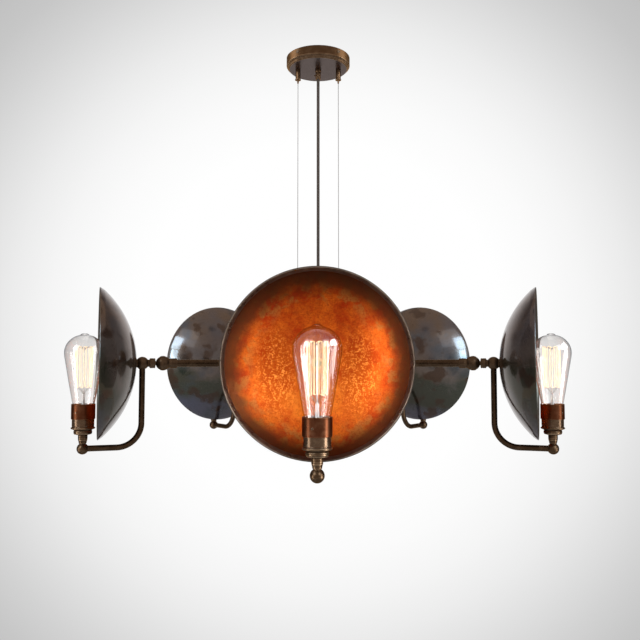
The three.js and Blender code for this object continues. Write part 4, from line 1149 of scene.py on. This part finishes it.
world = bpy.data.worlds.new("studio")
bpy.context.scene.world = world
world.use_nodes = True
air = world.node_tree
air.nodes.clear()
seen_by = add(air, "ShaderNodeLightPath").outputs
pale = calc(air, "MAXIMUM", seen_by["Is Camera Ray"], seen_by["Is Transmission Ray"])
around = mixed(air, seen_by["Is Glossy Ray"], (0.43, 0.43, 0.44), (0.42, 0.35, 0.30))
around = mixed(air, pale, around, (0.83, 0.83, 0.83))
world_light = add(air, "ShaderNodeBackground", {"Color": around, "Strength": 1.0})
add(air, "ShaderNodeOutputWorld", {"Surface": world_light.outputs[0]})

flag_cloth = two_tone("flag_cloth", 3.0, (0.26, 0.235, 0.235), (0.21, 0.19, 0.19), Roughness=0.9)
for side, label in ((-1, "left"), (1, "right")):
    x = side * 4.4
    flag = flat_sheet(f"flag_{label}", [(x, -1.4, -2.4), (x, 3.1, -2.4), (x, 3.1, 2.6), (x, -1.4, 2.6)],
                      flag_cloth)
    flag.visible_camera = flag.visible_diffuse = flag.visible_transmission = flag.visible_shadow = False


def soft_lamp(name, where, aim, width, height, power, colour, lights=None):
    """A rectangular studio lamp at a place, facing the given point, that lights the given pieces."""
    data = bpy.data.lights.new(name, "AREA")
    data.shape = "RECTANGLE"
    data.size, data.size_y = width, height
    data.energy = power
    data.color = colour
    lamp = placed(name, data)
    way = np.array(aim, float) - np.array(where, float)
    way /= np.linalg.norm(way)
    lamp.location = where
    lamp.rotation_euler = (math.acos(-way[2]), 0, math.atan2(way[0], -way[1]) + math.pi)
    lamp.visible_camera = False
    if lights:
        lamp.light_linking.receiver_collection = lights
    return lamp


lamp_aim = (0, 0, -0.5)
pieces = list(bpy.context.scene.collection.all_objects)


def group_of(name, *starts, but=()):
    """A collection of the pieces whose names begin with one of the words and don't end with others."""
    group = bpy.data.collections.new(name)
    for piece in pieces:
        if piece.name.startswith(starts) and not piece.name.endswith(but):
            group.objects.link(piece)
    return group


metal = ("arm_", "swivel_", "stem_", "cross_", "bracket_", "holder_", "skirt_", "cord_", "gripper_",
         "anchor_", "hub_", "finial", "nut_", "bulb_", "cap_", "dish_bowl_1", "terminal", "braided")
for side, label, far_arms in ((-1, "left", ("_2", "_3")), (1, "right", ("_4", "_5"))):
    bowls = group_of(f"bowls_{label}", "dish_bowl", but=("_1", *far_arms))
    others = group_of(f"others_{label}", *metal, but=far_arms)
    rose = group_of(f"rose_{label}", "rose_")
    for name, (x, y, z), aim, width, height, power, colour, lights in (
            ("window_low", (1.88, -2.10, 0.07), lamp_aim, 1.05, 0.78, 46, (0.48, 0.76, 1.0), bowls),
            ("window_high", (1.72, -1.78, 0.98), lamp_aim, 1.45, 1.0, 62, (0.50, 0.77, 1.0), bowls),
            ("sky", (0.62, -1.55, 1.00), lamp_aim, 1.3, 1.2, 5.0, (0.72, 0.88, 1.0), bowls),
            ("fill", (1.7, -1.9, 0.7), lamp_aim, 1.3, 1.6, 26, (0.86, 0.93, 1.0), others),
            ("side", (2.0, -1.0, -1.25), (0, -0.2, -0.9), 0.55, 1.6, 12, (1.0, 0.98, 0.95), others),
            ("rose", (1.4, 0.15, 0.50), (0, 0, 0), 0.8, 1.4, 10, (1.0, 0.95, 0.88), rose)):
        soft_lamp(f"{name}_{label}", (side * x, y, z), aim, width, height, power, colour, lights)
front_lamp = group_of("front_lamp", "holder_", "bracket_", "skirt_", but=("_2", "_3", "_4", "_5"))
soft_lamp("front_right", (1.5, -0.75, -0.75), (0, -0.4, -0.7), 0.5, 1.2, 9, (1.0, 0.97, 0.94), front_lamp)
glasses = group_of("glasses", "bulb_envelope")
for name, where, width, height, power, colour in (
        ("glass_left", (-1.50, -1.25, -0.50), 0.34, 1.90, 22, (1.0, 0.97, 0.95)),
        ("glass_right", (1.50, -0.42, -0.30), 0.55, 1.50, 18, (1.0, 0.97, 0.94)),
        ("glass_window", (1.50, -0.50, 0.10), 1.20, 0.60, 24, (0.96, 0.98, 1.0))):
    soft_lamp(name, where, (0, -0.4, -0.6), width, height, power, colour, glasses)
overhead = soft_lamp("overhead", (0, 0.7, 1.6), lamp_aim, 1.6, 1.6, 8, (1.0, 0.98, 0.95))
overhead.visible_glossy = False
